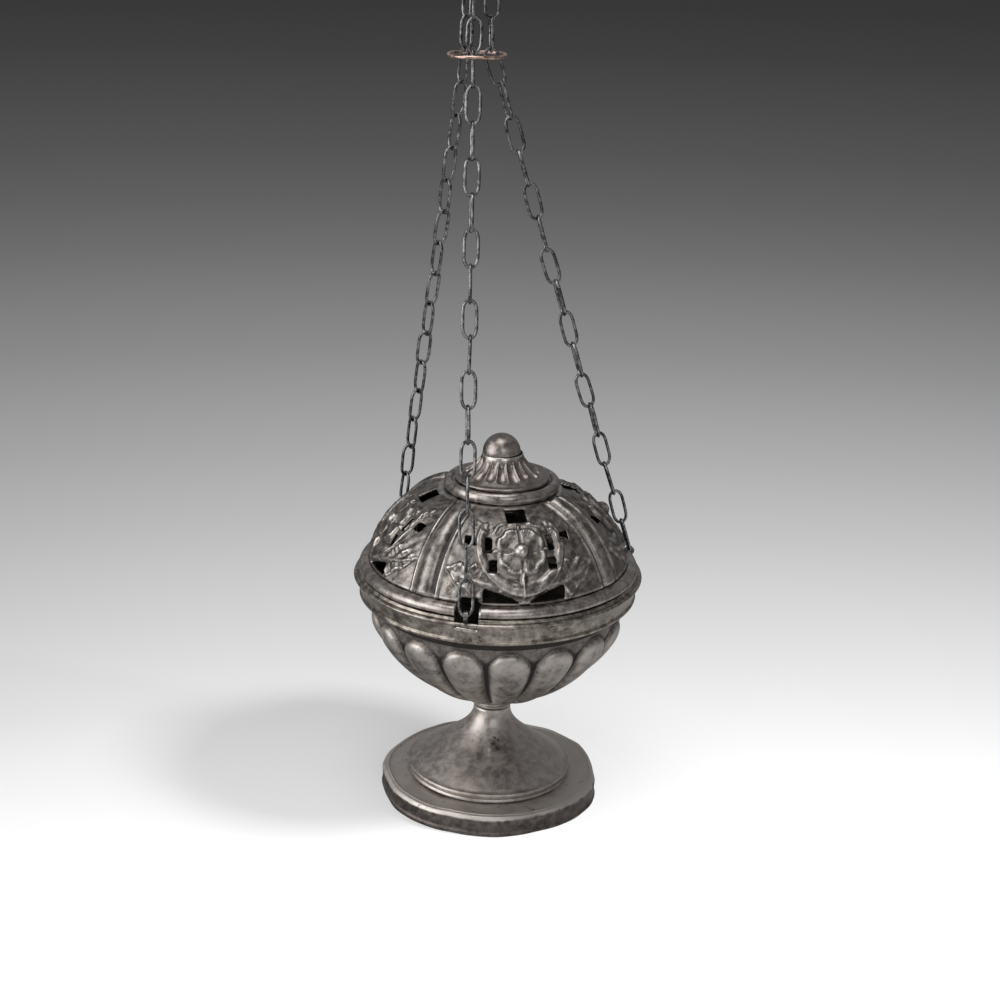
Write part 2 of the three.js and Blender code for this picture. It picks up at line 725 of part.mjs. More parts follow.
function flutedCap() {
  const lip = capBottom + 1.8;
  const outwards = (share) => THREE.MathUtils.lerp(CAP_TOP_RADIUS, capRadius, share);
  const upwards = (share) => THREE.MathUtils.lerp(lip, capTop, share);
  const outer = [
    [capRadius - 1, capBottom],
    [capRadius - 0.9, capBottom + 0.8],
    [capRadius, capBottom + 1.1],
    [capRadius, lip],
    [capRadius - 0.9, lip + 0.4],
    [outwards(0.72), upwards(0.19)],
    [outwards(0.48), upwards(0.37)],
    [outwards(0.22), upwards(0.58)],
    [outwards(0.05), upwards(0.84)],
    [CAP_TOP_RADIUS, capTop],
  ];
  const blank = turned([[0, capBottom], ...outer, [0, capTop]], CAP_FLUTES * 3, false);
  const cap = worked(blank, (azimuth, radius, height) => {
    const onCone = radius < outwards(0.75) && radius > CAP_TOP_RADIUS + 0.2 && height > lip + 0.5;
    const depth = onCone ? (CAP_FLUTE_DEPTH * (1 - Math.cos(azimuth * CAP_FLUTES))) / 2 : 0;
    return [radius - depth, height - depth * 0.4];
  });
  const socket = new THREE.SphereGeometry(ballSocketRadius, 16, 12).translate(0, 0, ballHeight);
  const hollowRadius = capRadius - 2.4;
  const hollow = turned(
    [
      [0, capBottom - 1],
      [hollowRadius, capBottom - 1],
      [hollowRadius, capBottom + 0.4],
      [CAP_TOP_RADIUS, capBottom + 2.2],
      [0, capBottom + 2.2],
    ],
    SMALL_ROUND,
    false,
  );
  const cuts = [solid(socket), solid(hollow), bore(studHoleRadius, 0, capTop)];
  return shapeOf(solid(cap).subtract(join(cuts)));
}

const crownWasherTop = seatTop - SHEET - SEAM;
const crownNutTop = crownWasherTop - WASHER_THICKNESS - SEAM;

function finialBall() {
  const studEnd = crownNutTop - NUT_HEIGHT - 1.2;
  const ball = [];
  const start = Math.asin(STUD_RADIUS / BALL_RADIUS);
  const steps = 9;
  for (let i = 0; i <= steps; i++) {
    const angle = THREE.MathUtils.lerp(start, Math.PI, i / steps);
    ball.push([BALL_RADIUS * Math.sin(angle), ballHeight - BALL_RADIUS * Math.cos(angle)]);
  }
  ball[steps][0] = 0;
  return turned([[0, studEnd], [STUD_RADIUS, studEnd], ...ball], SMALL_ROUND, false);
}

// Charcoal pan, standing by its lip in the tapering bowl
const panTop = bowlTop - PAN_LIP_DEPTH;

function firePan() {
  const lip = cavityRadiusAt(panTop - SHEET) - PAN_FIT;
  const wall = lip - PAN_LIP_WIDTH;
  const floor = panTop - PAN_DEPTH;
  return turned(
    [
      [0, floor],
      [PAN_FLOOR_RADIUS, floor],
      [PAN_FLOOR_RADIUS + 4, floor + 2],
      [wall, panTop - SHEET],
      [lip, panTop - SHEET],
      [lip, panTop],
      [wall - SHEET, panTop],
      [PAN_FLOOR_RADIUS + 4 - SHEET, floor + 2 + SHEET],
      [PAN_FLOOR_RADIUS - 0.6, floor + SHEET],
      [0, floor + SHEET],
    ],
    CUT_ROUND,
    false,
  );
}

// Chains. Each one lies in the upright plane from its lug's eye to the gathering ring.
function chainRoute(azimuthDegrees) {
  const azimuth = THREE.MathUtils.degToRad(azimuthDegrees);
  const around = (radius, height, shift) =>
    new THREE.Vector3(shift + radius * Math.sin(azimuth), -radius * Math.cos(azimuth), height);
  const eye = around(lugEyeRadius, lugEyeHeight, 0);
  const gather = around(GATHER_RADIUS, gatherHeight, GATHER_OFFSET);
  const top = around(GATHER_RADIUS, EYE_HEIGHT, GATHER_OFFSET);
  const inward = new THREE.Vector3(gather.x - eye.x, gather.y - eye.y, 0).normalize();
  return { eye, gather, top, inward };
}

// How far from a point, along a level direction, a circle round the axis is met
function distanceTo(radius, point, direction) {
  const along = point.x * direction.x + point.y * direction.y;
  return -along - Math.sqrt(along ** 2 - point.x ** 2 - point.y ** 2 + radius ** 2);
}

// From wire to wire: between two links of one run, and between two runs
const fixedStep = 2 * LINK_WIRE_RADIUS - LINK_SETTLE;
const freeStep = 2 * LINK_WIRE_RADIUS + LINK_FREE_GAP;

// Length of a link between its end wires, when the links of some runs share a distance.
// Each run but the last, or the last too if it ends at a free joint, has a free step after it.
const linkLength = (distance, links, fixedJoints, freeJoints) =>
  (distance + fixedJoints * fixedStep + freeJoints * freeStep) / links;

// A link is a ring pulled apart at its middle. It stands on its lower end wire.
function linkGeometry(length) {
  const bend = LINK_WIDTH / 2 - LINK_WIRE_RADIUS;
  const ring = new THREE.TorusGeometry(bend, LINK_WIRE_RADIUS, LINK_SIDES, LINK_STEPS);
  ring.rotateZ(Math.PI / LINK_STEPS);
  const position = ring.getAttribute("position");
  const stretch = length / 2 - bend * Math.cos(Math.PI / LINK_STEPS);
  for (let i = 0; i < position.count; i++) {
    position.setY(i, position.getY(i) + Math.sign(position.getY(i)) * stretch);
  }
  return ring.rotateX(Math.PI / 2).translate(0, 0, length / 2);
}

// Links in a row from a point along a direction, alternately face on and edge on to the chain's plane
function chainRun(start, direction, inward, count, length) {
  const across = new THREE.Vector3(0, 0, 1).cross(inward).normalize();
  const depth = new THREE.Vector3().crossVectors(direction, across).normalize();
  const frame = new THREE.Matrix4().makeBasis(across, depth, direction);
  const links = [];
  for (let i = 0; i < count; i++) {
    const link = linkGeometry(length);
    if (i % 2 === 1) link.rotateZ(Math.PI / 2);
    link.applyMatrix4(frame);
    const foot = direction.clone().multiplyScalar(i * (length - fixedStep)).add(start);
    links.push(solid(link.translate(foot.x, foot.y, foot.z)));
  }
  return shapeOf(join(links));
}

function addChain(side, azimuth) {
  const { eye, gather, top, inward } = chainRoute(azimuth);
  const slant = gather.clone().sub(eye);
  const direction = slant.clone().normalize();
  const slantLinks = LOWER_LINKS + MIDDLE_LINKS;
  const slantLink = linkLength(slant.length(), slantLinks, slantLinks - 2, 2);
  const kink = LOWER_LINKS * slantLink - (LOWER_LINKS - 1) * fixedStep - freeStep;
  const kinkPoint = direction.clone().multiplyScalar(kink).add(eye);
  const upright = new THREE.Vector3(0, 0, 1);
  const uprightLink = linkLength(top.z - gather.z, UPPER_LINKS, UPPER_LINKS - 1, 0);
  const runs = {
    lower: chainRun(eye, direction, inward, LOWER_LINKS, slantLink),
    middle: chainRun(kinkPoint, direction, inward, MIDDLE_LINKS, slantLink),
    upper: chainRun(gather, upright, inward, UPPER_LINKS, uprightLink),
  };
  for (const [run, geometry] of Object.entries(runs)) place(`chain_${side}_${run}`, geometry, chainSilver);
}

// Plate stood on edge in a chain's plane, made from an outline of [distance outwards, height]
function uprightPlate(shape, origin, inward, depth) {
  const plate = new THREE.ExtrudeGeometry(shape, { depth, bevelEnabled: false, curveSegments: 6 });
  plate.translate(0, 0, -depth / 2);
  const outward = inward.clone().negate();
  const up = new THREE.Vector3(0, 0, 1);
  const side = new THREE.Vector3().crossVectors(outward, up);
  plate.applyMatrix4(new THREE.Matrix4().makeBasis(outward, up, side));
  return plate.translate(origin.x, origin.y, origin.z);
}

// Lug soldered inside the bowl's edge. Its arm passes up through the slot and ends in an eye.
function chainLug(azimuth) {
  const { eye, inward } = chainRoute(azimuth);
  const wall = -distanceTo(BOWL_EDGE_RADIUS - SHEET - 2 * SEAM, eye, inward);
  const armBottom = bowlTop + 2 * SEAM - lugEyeHeight;
  const tail = coveTop - lugEyeHeight;
  const start = THREE.MathUtils.degToRad(-48);
  const end = THREE.MathUtils.degToRad(140);
  const shape = new THREE.Shape();
  shape.moveTo(wall - 2, tail);
  shape.lineTo(wall, tail);
  shape.lineTo(wall, armBottom);
  shape.lineTo(wall + 2.6, armBottom);
  shape.absarc(0, 0, eyeRadius, start, end, false);
  shape.lineTo(wall - 0.6, armBottom + 2.2);
  shape.lineTo(wall - 2, armBottom + 0.8);
  shape.holes.push(new THREE.Path().absarc(0, 0, wireHoleRadius, 0, 2 * Math.PI, true));
  return uprightPlate(shape, eye, inward, LUG_THICKNESS);
}

// Eye under the top plate: its shank passes through the plate and is peened over
function plateEye(azimuth) {
  const { top, inward } = chainRoute(azimuth);
  const shape = new THREE.Shape().absarc(0, 0, eyeRadius, 0, 2 * Math.PI, false);
  shape.holes.push(new THREE.Path().absarc(0, 0, wireHoleRadius, 0, 2 * Math.PI, true));
  const eye = solid(uprightPlate(shape, top, inward, LUG_THICKNESS));
  const shank = turned(
    [
      [0, EYE_HEIGHT + wireHoleRadius + 0.15],
      [EYE_SHANK_RADIUS, EYE_HEIGHT + wireHoleRadius + 0.15],
      [EYE_SHANK_RADIUS, plateTop + SEAM],
      [EYE_SHANK_RADIUS + 0.8, plateTop + SEAM],
      [EYE_SHANK_RADIUS + 0.5, plateTop + 1],
      [0, plateTop + 1.1],
    ],
    12,
    false,
  ).translate(top.x, top.y, 0);
  return shapeOf(eye.add(solid(shank)));
}

function topPlate() {
  const disc = turned(
    [
      [0, plateBottom],
      [PLATE_RADIUS - 0.4, plateBottom],
      [PLATE_RADIUS, plateBottom + 0.5],
      [PLATE_RADIUS - 0.5, plateTop - 0.2],
      [PLATE_RADIUS - 1.2, plateTop],
      [0, plateTop],
    ],
    24,
    false,
  );
  const holes = [[0, 0, LOOP_SHANK_RADIUS + SEAM]];
  for (const azimuth of Object.values(CHAIN_AZIMUTHS)) {
    const { top } = chainRoute(azimuth);
    holes.push([top.x - GATHER_OFFSET, top.y, EYE_SHANK_RADIUS + SEAM]);
  }
  const drill = (radius) => bore(radius, plateBottom - 1, plateTop + 1);
  const cuts = holes.map(([x, y, radius]) => drill(radius).translate([x, y, 0]));
  return shapeOf(solid(disc).subtract(join(cuts))).translate(GATHER_OFFSET, 0, 0);
}

// Loop that stands on the plate and carries the hanging ring
const ringHoleRadius = RING_WIRE + RUNNING_CLEARANCE;
const loopRadius = ringHoleRadius + 1.1;
const ringAxisHeight = plateTop + SEAM + 0.6 + loopRadius;

function topLoop() {
  const shape = new THREE.Shape().absarc(0, 0, loopRadius, 0, 2 * Math.PI, false);
  shape.holes.push(new THREE.Path().absarc(0, 0, ringHoleRadius, 0, 2 * Math.PI, true));
  const origin = new THREE.Vector3(0, 0, ringAxisHeight);
  const loop = solid(uprightPlate(shape, origin, new THREE.Vector3(1, 0, 0), 2));
  const shank = turned(
    [
      [0, plateBottom - 1.1],
      [LOOP_SHANK_RADIUS + 0.5, plateBottom - 1],
      [LOOP_SHANK_RADIUS + 0.9, plateBottom - SEAM],
      [LOOP_SHANK_RADIUS, plateBottom - SEAM],
      [LOOP_SHANK_RADIUS, plateTop + SEAM],
      [LOOP_SHANK_RADIUS + 1, plateTop + SEAM],
      [LOOP_SHANK_RADIUS + 0.6, plateTop + SEAM + 1],
      [0, plateTop + SEAM + 1.1],
    ],
    16,
    false,
  );
  return shapeOf(loop.add(solid(shank))).translate(GATHER_OFFSET, 0, 0);
}

function hangingRing() {
  const ring = new THREE.TorusGeometry(RING_RADIUS, RING_WIRE, 6, 24).rotateX(Math.PI / 2);
  return ring.rotateZ(Math.PI / 2).translate(GATHER_OFFSET, 0, ringAxisHeight + RING_RADIUS);
}

function gatherRing() {
  const ring = new THREE.TorusGeometry(gatherRingBore + GATHER_RING_WIRE, GATHER_RING_WIRE, 6, 24);
  return ring.translate(GATHER_OFFSET, 0, gatherHeight - GATHER_RING_DROP);
}

place("foot_base", footBase(), tarnishedSilver);
place("foot_cone", footCone(), tarnishedSilver);
place("neck_collar", neckCollar(), paleSilver);
place("foot_screw", footScrew(), darkSilver);
place("foot_washer", washerUnder(footWasherTop), darkSilver);
place("foot_nut", nutUnder(footNutTop), darkSilver);
place("bowl", bowl(), tarnishedSilver);
place("rim_band", rimBand(), paleSilver);
place("fire_pan", firePan(), sootedIron);
lidMouldings().forEach((length, i) => place(`lid_moulding_${MOULDING_SIDES[i]}`, length, paleSilver));
place("lid_dome", lidDome(), tarnishedSilver);
place("crown_ring", crownRing(), tarnishedSilver);
place("fluted_cap", flutedCap(), tarnishedSilver);
place("finial_ball", finialBall(), tarnishedSilver);
place("crown_washer", washerUnder(crownWasherTop), darkSilver);
place("crown_nut", nutUnder(crownNutTop), darkSilver);
for (const [side, azimuth] of Object.entries(CHAIN_AZIMUTHS)) {
  place(`chain_lug_${side}`, chainLug(azimuth), darkSilver);
  addChain(side, azimuth);
  place(`plate_eye_${side}`, plateEye(azimuth), darkSilver);
}
place("gather_ring", gatherRing(), wireBrass);
place("top_plate", topPlate(), tarnishedSilver);
place("top_loop", topLoop(), darkSilver);
place("hanging_ring", hangingRing(), chainSilver);

export default censer;
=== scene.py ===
# A small silver censer that stands on its foot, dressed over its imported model.
# Sizes below are in millimetres and angles in degrees. Azimuths run from the front, -Y, towards +X.
import math

import bmesh
import bpy
import numpy as np
from mathutils import Matrix, Vector


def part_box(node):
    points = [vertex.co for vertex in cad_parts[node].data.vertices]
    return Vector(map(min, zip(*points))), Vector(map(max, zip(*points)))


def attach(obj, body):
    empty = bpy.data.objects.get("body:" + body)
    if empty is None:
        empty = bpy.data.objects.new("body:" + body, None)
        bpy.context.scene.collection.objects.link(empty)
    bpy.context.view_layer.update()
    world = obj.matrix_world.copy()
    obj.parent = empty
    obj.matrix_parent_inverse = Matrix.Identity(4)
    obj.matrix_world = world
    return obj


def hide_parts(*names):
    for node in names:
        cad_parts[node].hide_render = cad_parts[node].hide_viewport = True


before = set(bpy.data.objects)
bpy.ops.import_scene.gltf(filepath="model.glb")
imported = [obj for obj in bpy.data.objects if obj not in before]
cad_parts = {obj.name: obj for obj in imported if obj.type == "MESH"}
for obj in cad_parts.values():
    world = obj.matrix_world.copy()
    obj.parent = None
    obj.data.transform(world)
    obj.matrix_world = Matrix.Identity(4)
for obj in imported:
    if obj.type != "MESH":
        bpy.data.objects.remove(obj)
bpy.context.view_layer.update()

MM = 0.001
CHAIN_AZIMUTHS = {"front": -12, "right": 108, "left": -132}


def box_of(node):
    """The two corners of a node's box, in millimetres."""
    return [[length / MM for length in corner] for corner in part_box(node)]


def low(node):
    return box_of(node)[0][2]


def high(node):
    return box_of(node)[1][2]


def reach(node):
    """How far a node reaches towards +X."""
    return box_of(node)[1][0]


# Camera
IMAGE_WIDTH = 1000
FOCAL_PIXELS = 1900
SENSOR_WIDTH = 36
CAMERA_PLACE = (0.16, -681.7, 362.4)
CAMERA_PITCH = 19.5
CAMERA_ROLL = 1.30


def add_camera():
    pitch = math.radians(CAMERA_PITCH)
    roll = math.radians(CAMERA_ROLL)
    forward = Vector((0, math.cos(pitch), -math.sin(pitch)))
    level_up = Vector((0, math.sin(pitch), math.cos(pitch)))
    level_right = Vector((1, 0, 0))
    right = math.cos(roll) * level_right + math.sin(roll) * level_up
    up = -math.sin(roll) * level_right + math.cos(roll) * level_up
    turn = Matrix((right, up, -forward)).transposed().to_4x4()
    data = bpy.data.cameras.new("camera")
    data.sensor_width = SENSOR_WIDTH
    data.lens = FOCAL_PIXELS / IMAGE_WIDTH * SENSOR_WIDTH
    camera = bpy.data.objects.new("camera", data)
    camera.matrix_world = Matrix.Translation(Vector(CAMERA_PLACE) * MM) @ turn
    bpy.context.scene.collection.objects.link(camera)
    bpy.context.scene.camera = camera


# Node trees. A Wire carries a number through a tree, and takes the signs of plain arithmetic.
class Wire:
    def __init__(self, graph, socket):
        self.graph = graph
        self.socket = socket

    def __add__(self, other):
        return self.graph.math("ADD", self, other)

    def __sub__(self, other):
        return self.graph.math("SUBTRACT", self, other)

    def __rsub__(self, other):
        return self.graph.math("SUBTRACT", other, self)

    def __mul__(self, other):
        return self.graph.math("MULTIPLY", self, other)

    def __truediv__(self, other):
        return self.graph.math("DIVIDE", self, other)

    def __rtruediv__(self, other):
        return self.graph.math("DIVIDE", other, self)

    def __pow__(self, other):
        return self.graph.math("POWER", self, other)

    def __abs__(self):
        return self.graph.math("ABSOLUTE", self)


class Graph:
    def __init__(self, tree):
        self.tree = tree

    def add(self, kind, sockets=None, output=0, **settings):
        """A new node with its inputs by name or number, and one of its outputs as a Wire."""
        node = self.tree.nodes.new(kind)
        for name, value in settings.items():
            if name == "stops":
                self.set_stops(node, value)
            else:
                setattr(node, name, value)
        for key, value in (sockets or {}).items():
            if isinstance(value, Wire):
                self.tree.links.new(value.socket, node.inputs[key])
            else:
                node.inputs[key].default_value = value
        return Wire(self, node.outputs[output]) if node.outputs else node

    @staticmethod
    def set_stops(node, stops):
        elements = node.color_ramp.elements
        while len(elements) < len(stops):
            elements.new(1)
        for element, (place, color) in zip(elements, stops):
            element.position = place
            element.color = (*color, 1)

    def math(self, operation, first, second=0.0):
        return self.add("ShaderNodeMath", {0: first, 1: second}, operation=operation)

    def parts(self, vector):
        """The three numbers of a vector."""
        return [self.add("ShaderNodeSeparateXYZ", {0: vector}, output=number) for number in range(3)]

    def step(self, value, start, end, low=0.0, high=1.0):
        """Rises smoothly from low to high while value goes from start to end."""
        sockets = {"Value": value, "From Min": start, "From Max": end, "To Min": low, "To Max": high}
        return self.add("ShaderNodeMapRange", sockets, interpolation_type="SMOOTHSTEP")

    def tint(self, share, first, second):
        """Mixes two colours; a plain colour is a tuple of three."""
        first = (*first, 1) if isinstance(first, tuple) else first
        second = (*second, 1) if isinstance(second, tuple) else second
        return self.add("ShaderNodeMix", {0: share, 6: first, 7: second}, output=2, data_type="RGBA")


class Finish(Graph):
    """A material in the making: its tree, its coordinates in millimetres and its surface."""

    def __init__(self, name):
        self.material = bpy.data.materials.new(name)
        self.material.use_nodes = True
        super().__init__(self.material.node_tree)
        self.tree.nodes.clear()
        place = self.add("ShaderNodeTexCoord", output=3)
        self.place = self.scaled(place, (1 / MM, 1 / MM, 1 / MM))

    def scaled(self, vector, factors):
        return self.add("ShaderNodeVectorMath", {0: vector, 1: factors}, operation="MULTIPLY")

    def noise(self, size, detail=3.0, roughness=0.55, stretch=(1, 1, 1), twist=0.0):
        """Noise whose patches are about so many millimetres across."""
        place = self.place if stretch == (1, 1, 1) else self.scaled(self.place, stretch)
        sockets = {"Vector": place, "Scale": 1 / size, "Detail": detail}
        sockets.update({"Roughness": roughness, "Distortion": twist})
        return self.add("ShaderNodeTexNoise", sockets)

    def spots(self, size):
        return self.add("ShaderNodeTexVoronoi", {"Vector": self.place, "Scale": 1 / size}, feature="F1")

    def rise(self):
        """How far the surface stands over its surroundings, in millimetres, as made with the mesh."""
        return self.add("ShaderNodeAttribute", output=2, attribute_name="rise")

    def bump(self, height, distance):
        return self.add("ShaderNodeBump", {"Height": height, "Distance": distance * MM})

    def distance_to(self, point):
        sockets = {0: self.place, 1: point}
        return self.add("ShaderNodeVectorMath", sockets, output=1, operation="DISTANCE")

    def close(self, color, roughness, normal, metallic=1.0):
        sockets = {"Base Color": color, "Metallic": metallic, "Roughness": roughness, "Normal": normal}
        surface = self.add("ShaderNodeBsdfPrincipled", sockets)
        self.add("ShaderNodeOutputMaterial", {"Surface": surface})
        return self.material


# Finishes of the silver, the wires and the pan
# Painted highlight: the foot's flat top ring is coloured paler between two heights, for the light it catches.
PAINTED_HIGHLIGHT_TONE = (0.56, 0.52, 0.485)  # painted highlight on the foot's flat top ring, standing in for the light it catches
PAINTED_HIGHLIGHT_SHARE = 0.85
SOOT_TONE = 0.28  # soot, as a share of the darkest silver
SOOT_SHARE = 0.85
BLOT_SHARE = 0.92


def rubbed_between(finish, body, heights, mottle):
    """Paints a highlight by turning the silver pale between two heights."""
    low_height, high_height = heights
    level = finish.parts(finish.place)[2] + (mottle - 0.5) * 1.5
    over = finish.step(level, low_height - 0.7, low_height + 0.3)
    under = finish.step(level, high_height, high_height + 1, 1.0, 0.0)
    return finish.tint(over * under * PAINTED_HIGHLIGHT_SHARE, body, PAINTED_HIGHLIGHT_TONE)


def blotted(finish, body, middle, soot):
    """Puts a torn black smudge round a point."""
    away = finish.distance_to(middle)
    torn = finish.noise(2.6, detail=4, roughness=0.7)
    smudge = finish.step(away + (torn - 0.5) * 13, 1.6, 3.2, 1.0, 0.0)
    return finish.tint(smudge * BLOT_SHARE, body, soot)


def aged_silver(name, colors, stain_share=0.4, roughness=0.34, wear=1.0, spotting=0.5, highlight_heights=None, blot=None):
    """Silver with brown tarnish in its hollows, rubbed bright on its crests, and stained in patches.

    Its colors are dark, middle, rubbed and stained. It may have a painted highlight, a pale band between
    two heights, and a blot round a point.
    """
    dark, middle, bright, stain = colors
    finish = Finish(name)
    clouds = finish.noise(16, detail=4)
    mottle = finish.noise(3.2, detail=5, roughness=0.62)
    grain = finish.noise(0.55, detail=3)
    rise = finish.rise()
    lift = finish.step(rise, -0.55, 0.6)
    worn = finish.step(lift * wear + (mottle - 0.5) * 0.9 + (clouds - 0.5) * 0.5, 0.42, 1.15)
    hidden = finish.step(rise * -1 + (mottle - 0.5) * 0.5, 0.12, 0.62)
    body = finish.tint(finish.step(mottle + (grain - 0.5) * 0.35, 0.34, 0.66), dark, middle)
    patches = finish.step(finish.noise(7, detail=4, roughness=0.6, twist=0.8), 0.5, 0.68)
    body = finish.tint(patches * stain_share, body, stain)
    body = finish.tint(worn, body, bright)
    # painted highlight: a pale band between two heights
    if highlight_heights:
        body = rubbed_between(finish, body, highlight_heights, mottle)
    soot = tuple(SOOT_TONE * channel for channel in dark)
    body = finish.tint(hidden * SOOT_SHARE, body, soot)
    specks = finish.step(finish.spots(1.7) + (mottle - 0.5) * 0.9, 0.02, 0.22, 1.0, 0.0)
    grouped = finish.step(finish.noise(9, detail=2), 0.5, 0.62)
    body = finish.tint(specks * grouped * spotting, body, soot)
    if blot:
        body = blotted(finish, body, blot, soot)
    gloss = finish.step(mottle + (grain - 0.5) * 0.5, 0.25, 0.75, roughness - 0.09, roughness + 0.12)
    gloss = gloss - worn * 0.08 + hidden * 0.2
    scratches = finish.noise(0.5, detail=2, stretch=(1, 1, 0.14))
    height = mottle * 0.5 + grain * 0.16 + scratches * 0.1 - specks * grouped * 0.25
    return finish.close(body, gloss, finish.bump(height, 0.14))


def drawn_wire(name, dark, bright, roughness=0.3):
    """Drawn wire, dulled and brightened in patches."""
    finish = Finish(name)
    mottle = finish.noise(2.2, detail=4)
    grain = finish.noise(0.35, detail=3)
    color = finish.tint(finish.step(mottle + (grain - 0.5) * 0.4, 0.36, 0.68), dark, bright)
    gloss = finish.step(mottle, 0.3, 0.7, roughness - 0.06, roughness + 0.14)
    return finish.close(color, gloss, finish.bump(grain * 0.4 + mottle * 0.6, 0.025))


def sooted_iron(name):
    finish = Finish(name)
    mottle = finish.noise(4, detail=5, roughness=0.7)
    grain = finish.noise(0.8, detail=3)
    color = finish.tint(finish.step(mottle, 0.35, 0.7), (0.018, 0.016, 0.015), (0.09, 0.08, 0.07))
    gloss = finish.step(grain, 0.3, 0.7, 0.55, 0.85)
    return finish.close(color, gloss, finish.bump(mottle + grain * 0.3, 0.25), metallic=0.6)


# Silver of each part
DOME_SILVER = aged_silver(
    "dome_silver", ((0.1, 0.09, 0.083), (0.25, 0.228, 0.21), (0.5, 0.47, 0.44), (0.17, 0.148, 0.13)),
    stain_share=0.4, roughness=0.37, wear=0.95, spotting=0.35,
)
CROWN_SILVER = aged_silver(
    "crown_silver", ((0.16, 0.14, 0.128), (0.29, 0.26, 0.242), (0.56, 0.525, 0.5), (0.23, 0.195, 0.18)),
    stain_share=0.4, roughness=0.34, wear=0.8, spotting=0.2,
)
MOULDING_SILVER = aged_silver(
    "moulding_silver", ((0.2, 0.178, 0.165), (0.4, 0.365, 0.345), (0.68, 0.645, 0.61), (0.22, 0.185, 0.17)),
    stain_share=0.45, roughness=0.34, wear=0.8, spotting=0.35,
)
BAND_SILVER = aged_silver(
    "band_silver", ((0.14, 0.122, 0.104), (0.33, 0.302, 0.262), (0.56, 0.525, 0.47), (0.06, 0.052, 0.045)),
    stain_share=0.82, roughness=0.35, wear=0.95, spotting=0.95,
)
BOWL_SILVER = aged_silver(
    "bowl_silver", ((0.1, 0.095, 0.09), (0.27, 0.245, 0.225), (0.44, 0.405, 0.375), (0.15, 0.125, 0.11)),
    stain_share=0.6, roughness=0.5, wear=1.0, spotting=0.5,
)
CONE_SILVER = aged_silver(
    "cone_silver", ((0.3, 0.272, 0.252), (0.43, 0.393, 0.367), (0.68, 0.645, 0.61), (0.5, 0.46, 0.41)),
    stain_share=0.3, roughness=0.42, wear=0.6, spotting=0.25, blot=(0.3, -12.5, 23.5),
)
# The foot's pale band between 7 and 9 mm high is a painted highlight on its flat ring.
FOOT_SILVER = aged_silver(
    "foot_silver", ((0.075, 0.065, 0.06), (0.165, 0.144, 0.134), (0.37, 0.342, 0.318), (0.04, 0.036, 0.034)),
    stain_share=0.65, roughness=0.52, wear=0.6, spotting=0.85, highlight_heights=(7.0, 9),
)
FITTING_SILVER = aged_silver(
    "fitting_silver", ((0.06, 0.055, 0.052), (0.16, 0.15, 0.145), (0.42, 0.4, 0.38), (0.1, 0.09, 0.085)),
)
CHAIN_WIRE = drawn_wire("chain_wire", (0.07, 0.07, 0.071), (0.27, 0.27, 0.268), roughness=0.27)
RING_WIRE = drawn_wire("ring_wire", (0.3, 0.19, 0.15), (0.62, 0.47, 0.4), roughness=0.26)
PAN_IRON = sooted_iron("pan_iron")


# Meshes
def apart(azimuth, other):
    """Degrees from one azimuth to another by the shorter way round."""
    return (azimuth - other + 180) % 360 - 180


def shifted(mesh, across):
    """The mesh moved so many millimetres towards +X."""
    mesh.transform(Matrix.Translation((across * MM, 0, 0)))
    return mesh


def waves(azimuths, *terms):
    """Unevenness round the axis, as a sum of waves of (size, count, start)."""
    return sum(size * np.sin(count * azimuths + start) for size, count, start in terms)


def about(radius, height, *steps):
    """Points of an outline, each as a step out and a step up from one radius and height."""
    return [(radius + out, height + up) for out, up in steps]


def eased(points, cut, steps=4):
    """A line of [radius, height] points whose corners are rounded off, each by so much at most."""
    line = [points[0]]
    for before, corner, after in zip(points, points[1:], points[2:]):
        corner = Vector(corner)
        back = Vector(before) - corner
        on = Vector(after) - corner
        start = corner + back.normalized() * min(cut, back.length * 0.45)
        end = corner + on.normalized() * min(cut, on.length * 0.45)
        for i in range(steps + 1):
            t = i / steps
            line.append(tuple(start * (1 - t) ** 2 + corner * 2 * t * (1 - t) + end * t ** 2))
    line.append(points[-1])
    return line


def ring_eased(points, cut, steps=4):
    """The same for a closed outline."""
    return eased([points[-1], *points, points[0]], cut, steps)[1:-1]


def bezier(start, first, second, end, steps):
    line = []
    controls = np.array((start, first, second, end), float)
    for i in range(steps + 1):
        t = i / steps
        weights = ((1 - t) ** 3, 3 * t * (1 - t) ** 2, 3 * t ** 2 * (1 - t), t ** 3)
        line.append(tuple(np.dot(weights, controls)))
    return line


def grid_faces(rows, columns, closed_rows=False, closed_columns=True, holes=None):
    """Faces between the points of a grid that is stored row by row."""
    faces = []
    for row in range(rows if closed_rows else rows - 1):
        here = row * columns
        above = (row + 1) % rows * columns
        for column in range(columns if closed_columns else columns - 1):
            if holes is None or not holes[row, column]:
                beside = (column + 1) % columns
                faces.append((here + column, here + beside, above + beside, above + column))
    return faces


def turned(profile, segments=192, closed=True, start=0.0, end=360.0, shape=None):
    """Vertices and faces of a body turned about the axis. A part turn gets its two ends filled.

    An open profile starts and ends on the axis. shape(azimuths, radii, heights) may move the rings.
    """
    whole = end - start >= 360
    columns = segments if whole else segments + 1
    azimuths = np.radians(start + (end - start) * np.arange(columns) / segments)
    radii = np.repeat(np.array([p[0] for p in profile], float)[:, None], columns, axis=1)
    heights = np.repeat(np.array([p[1] for p in profile], float)[:, None], columns, axis=1)
    if shape:
        radii, heights = shape(azimuths[None, :], radii, heights)
    points = np.stack((radii * np.sin(azimuths), -radii * np.cos(azimuths), heights), axis=2)
    rows = len(profile)
    faces = grid_faces(rows, columns, closed_rows=closed, closed_columns=whole)
    if not whole:
        faces.append([row * columns for row in range(rows)])
        faces.append([row * columns + columns - 1 for row in reversed(range(rows))])
    return points.reshape(-1, 3), faces


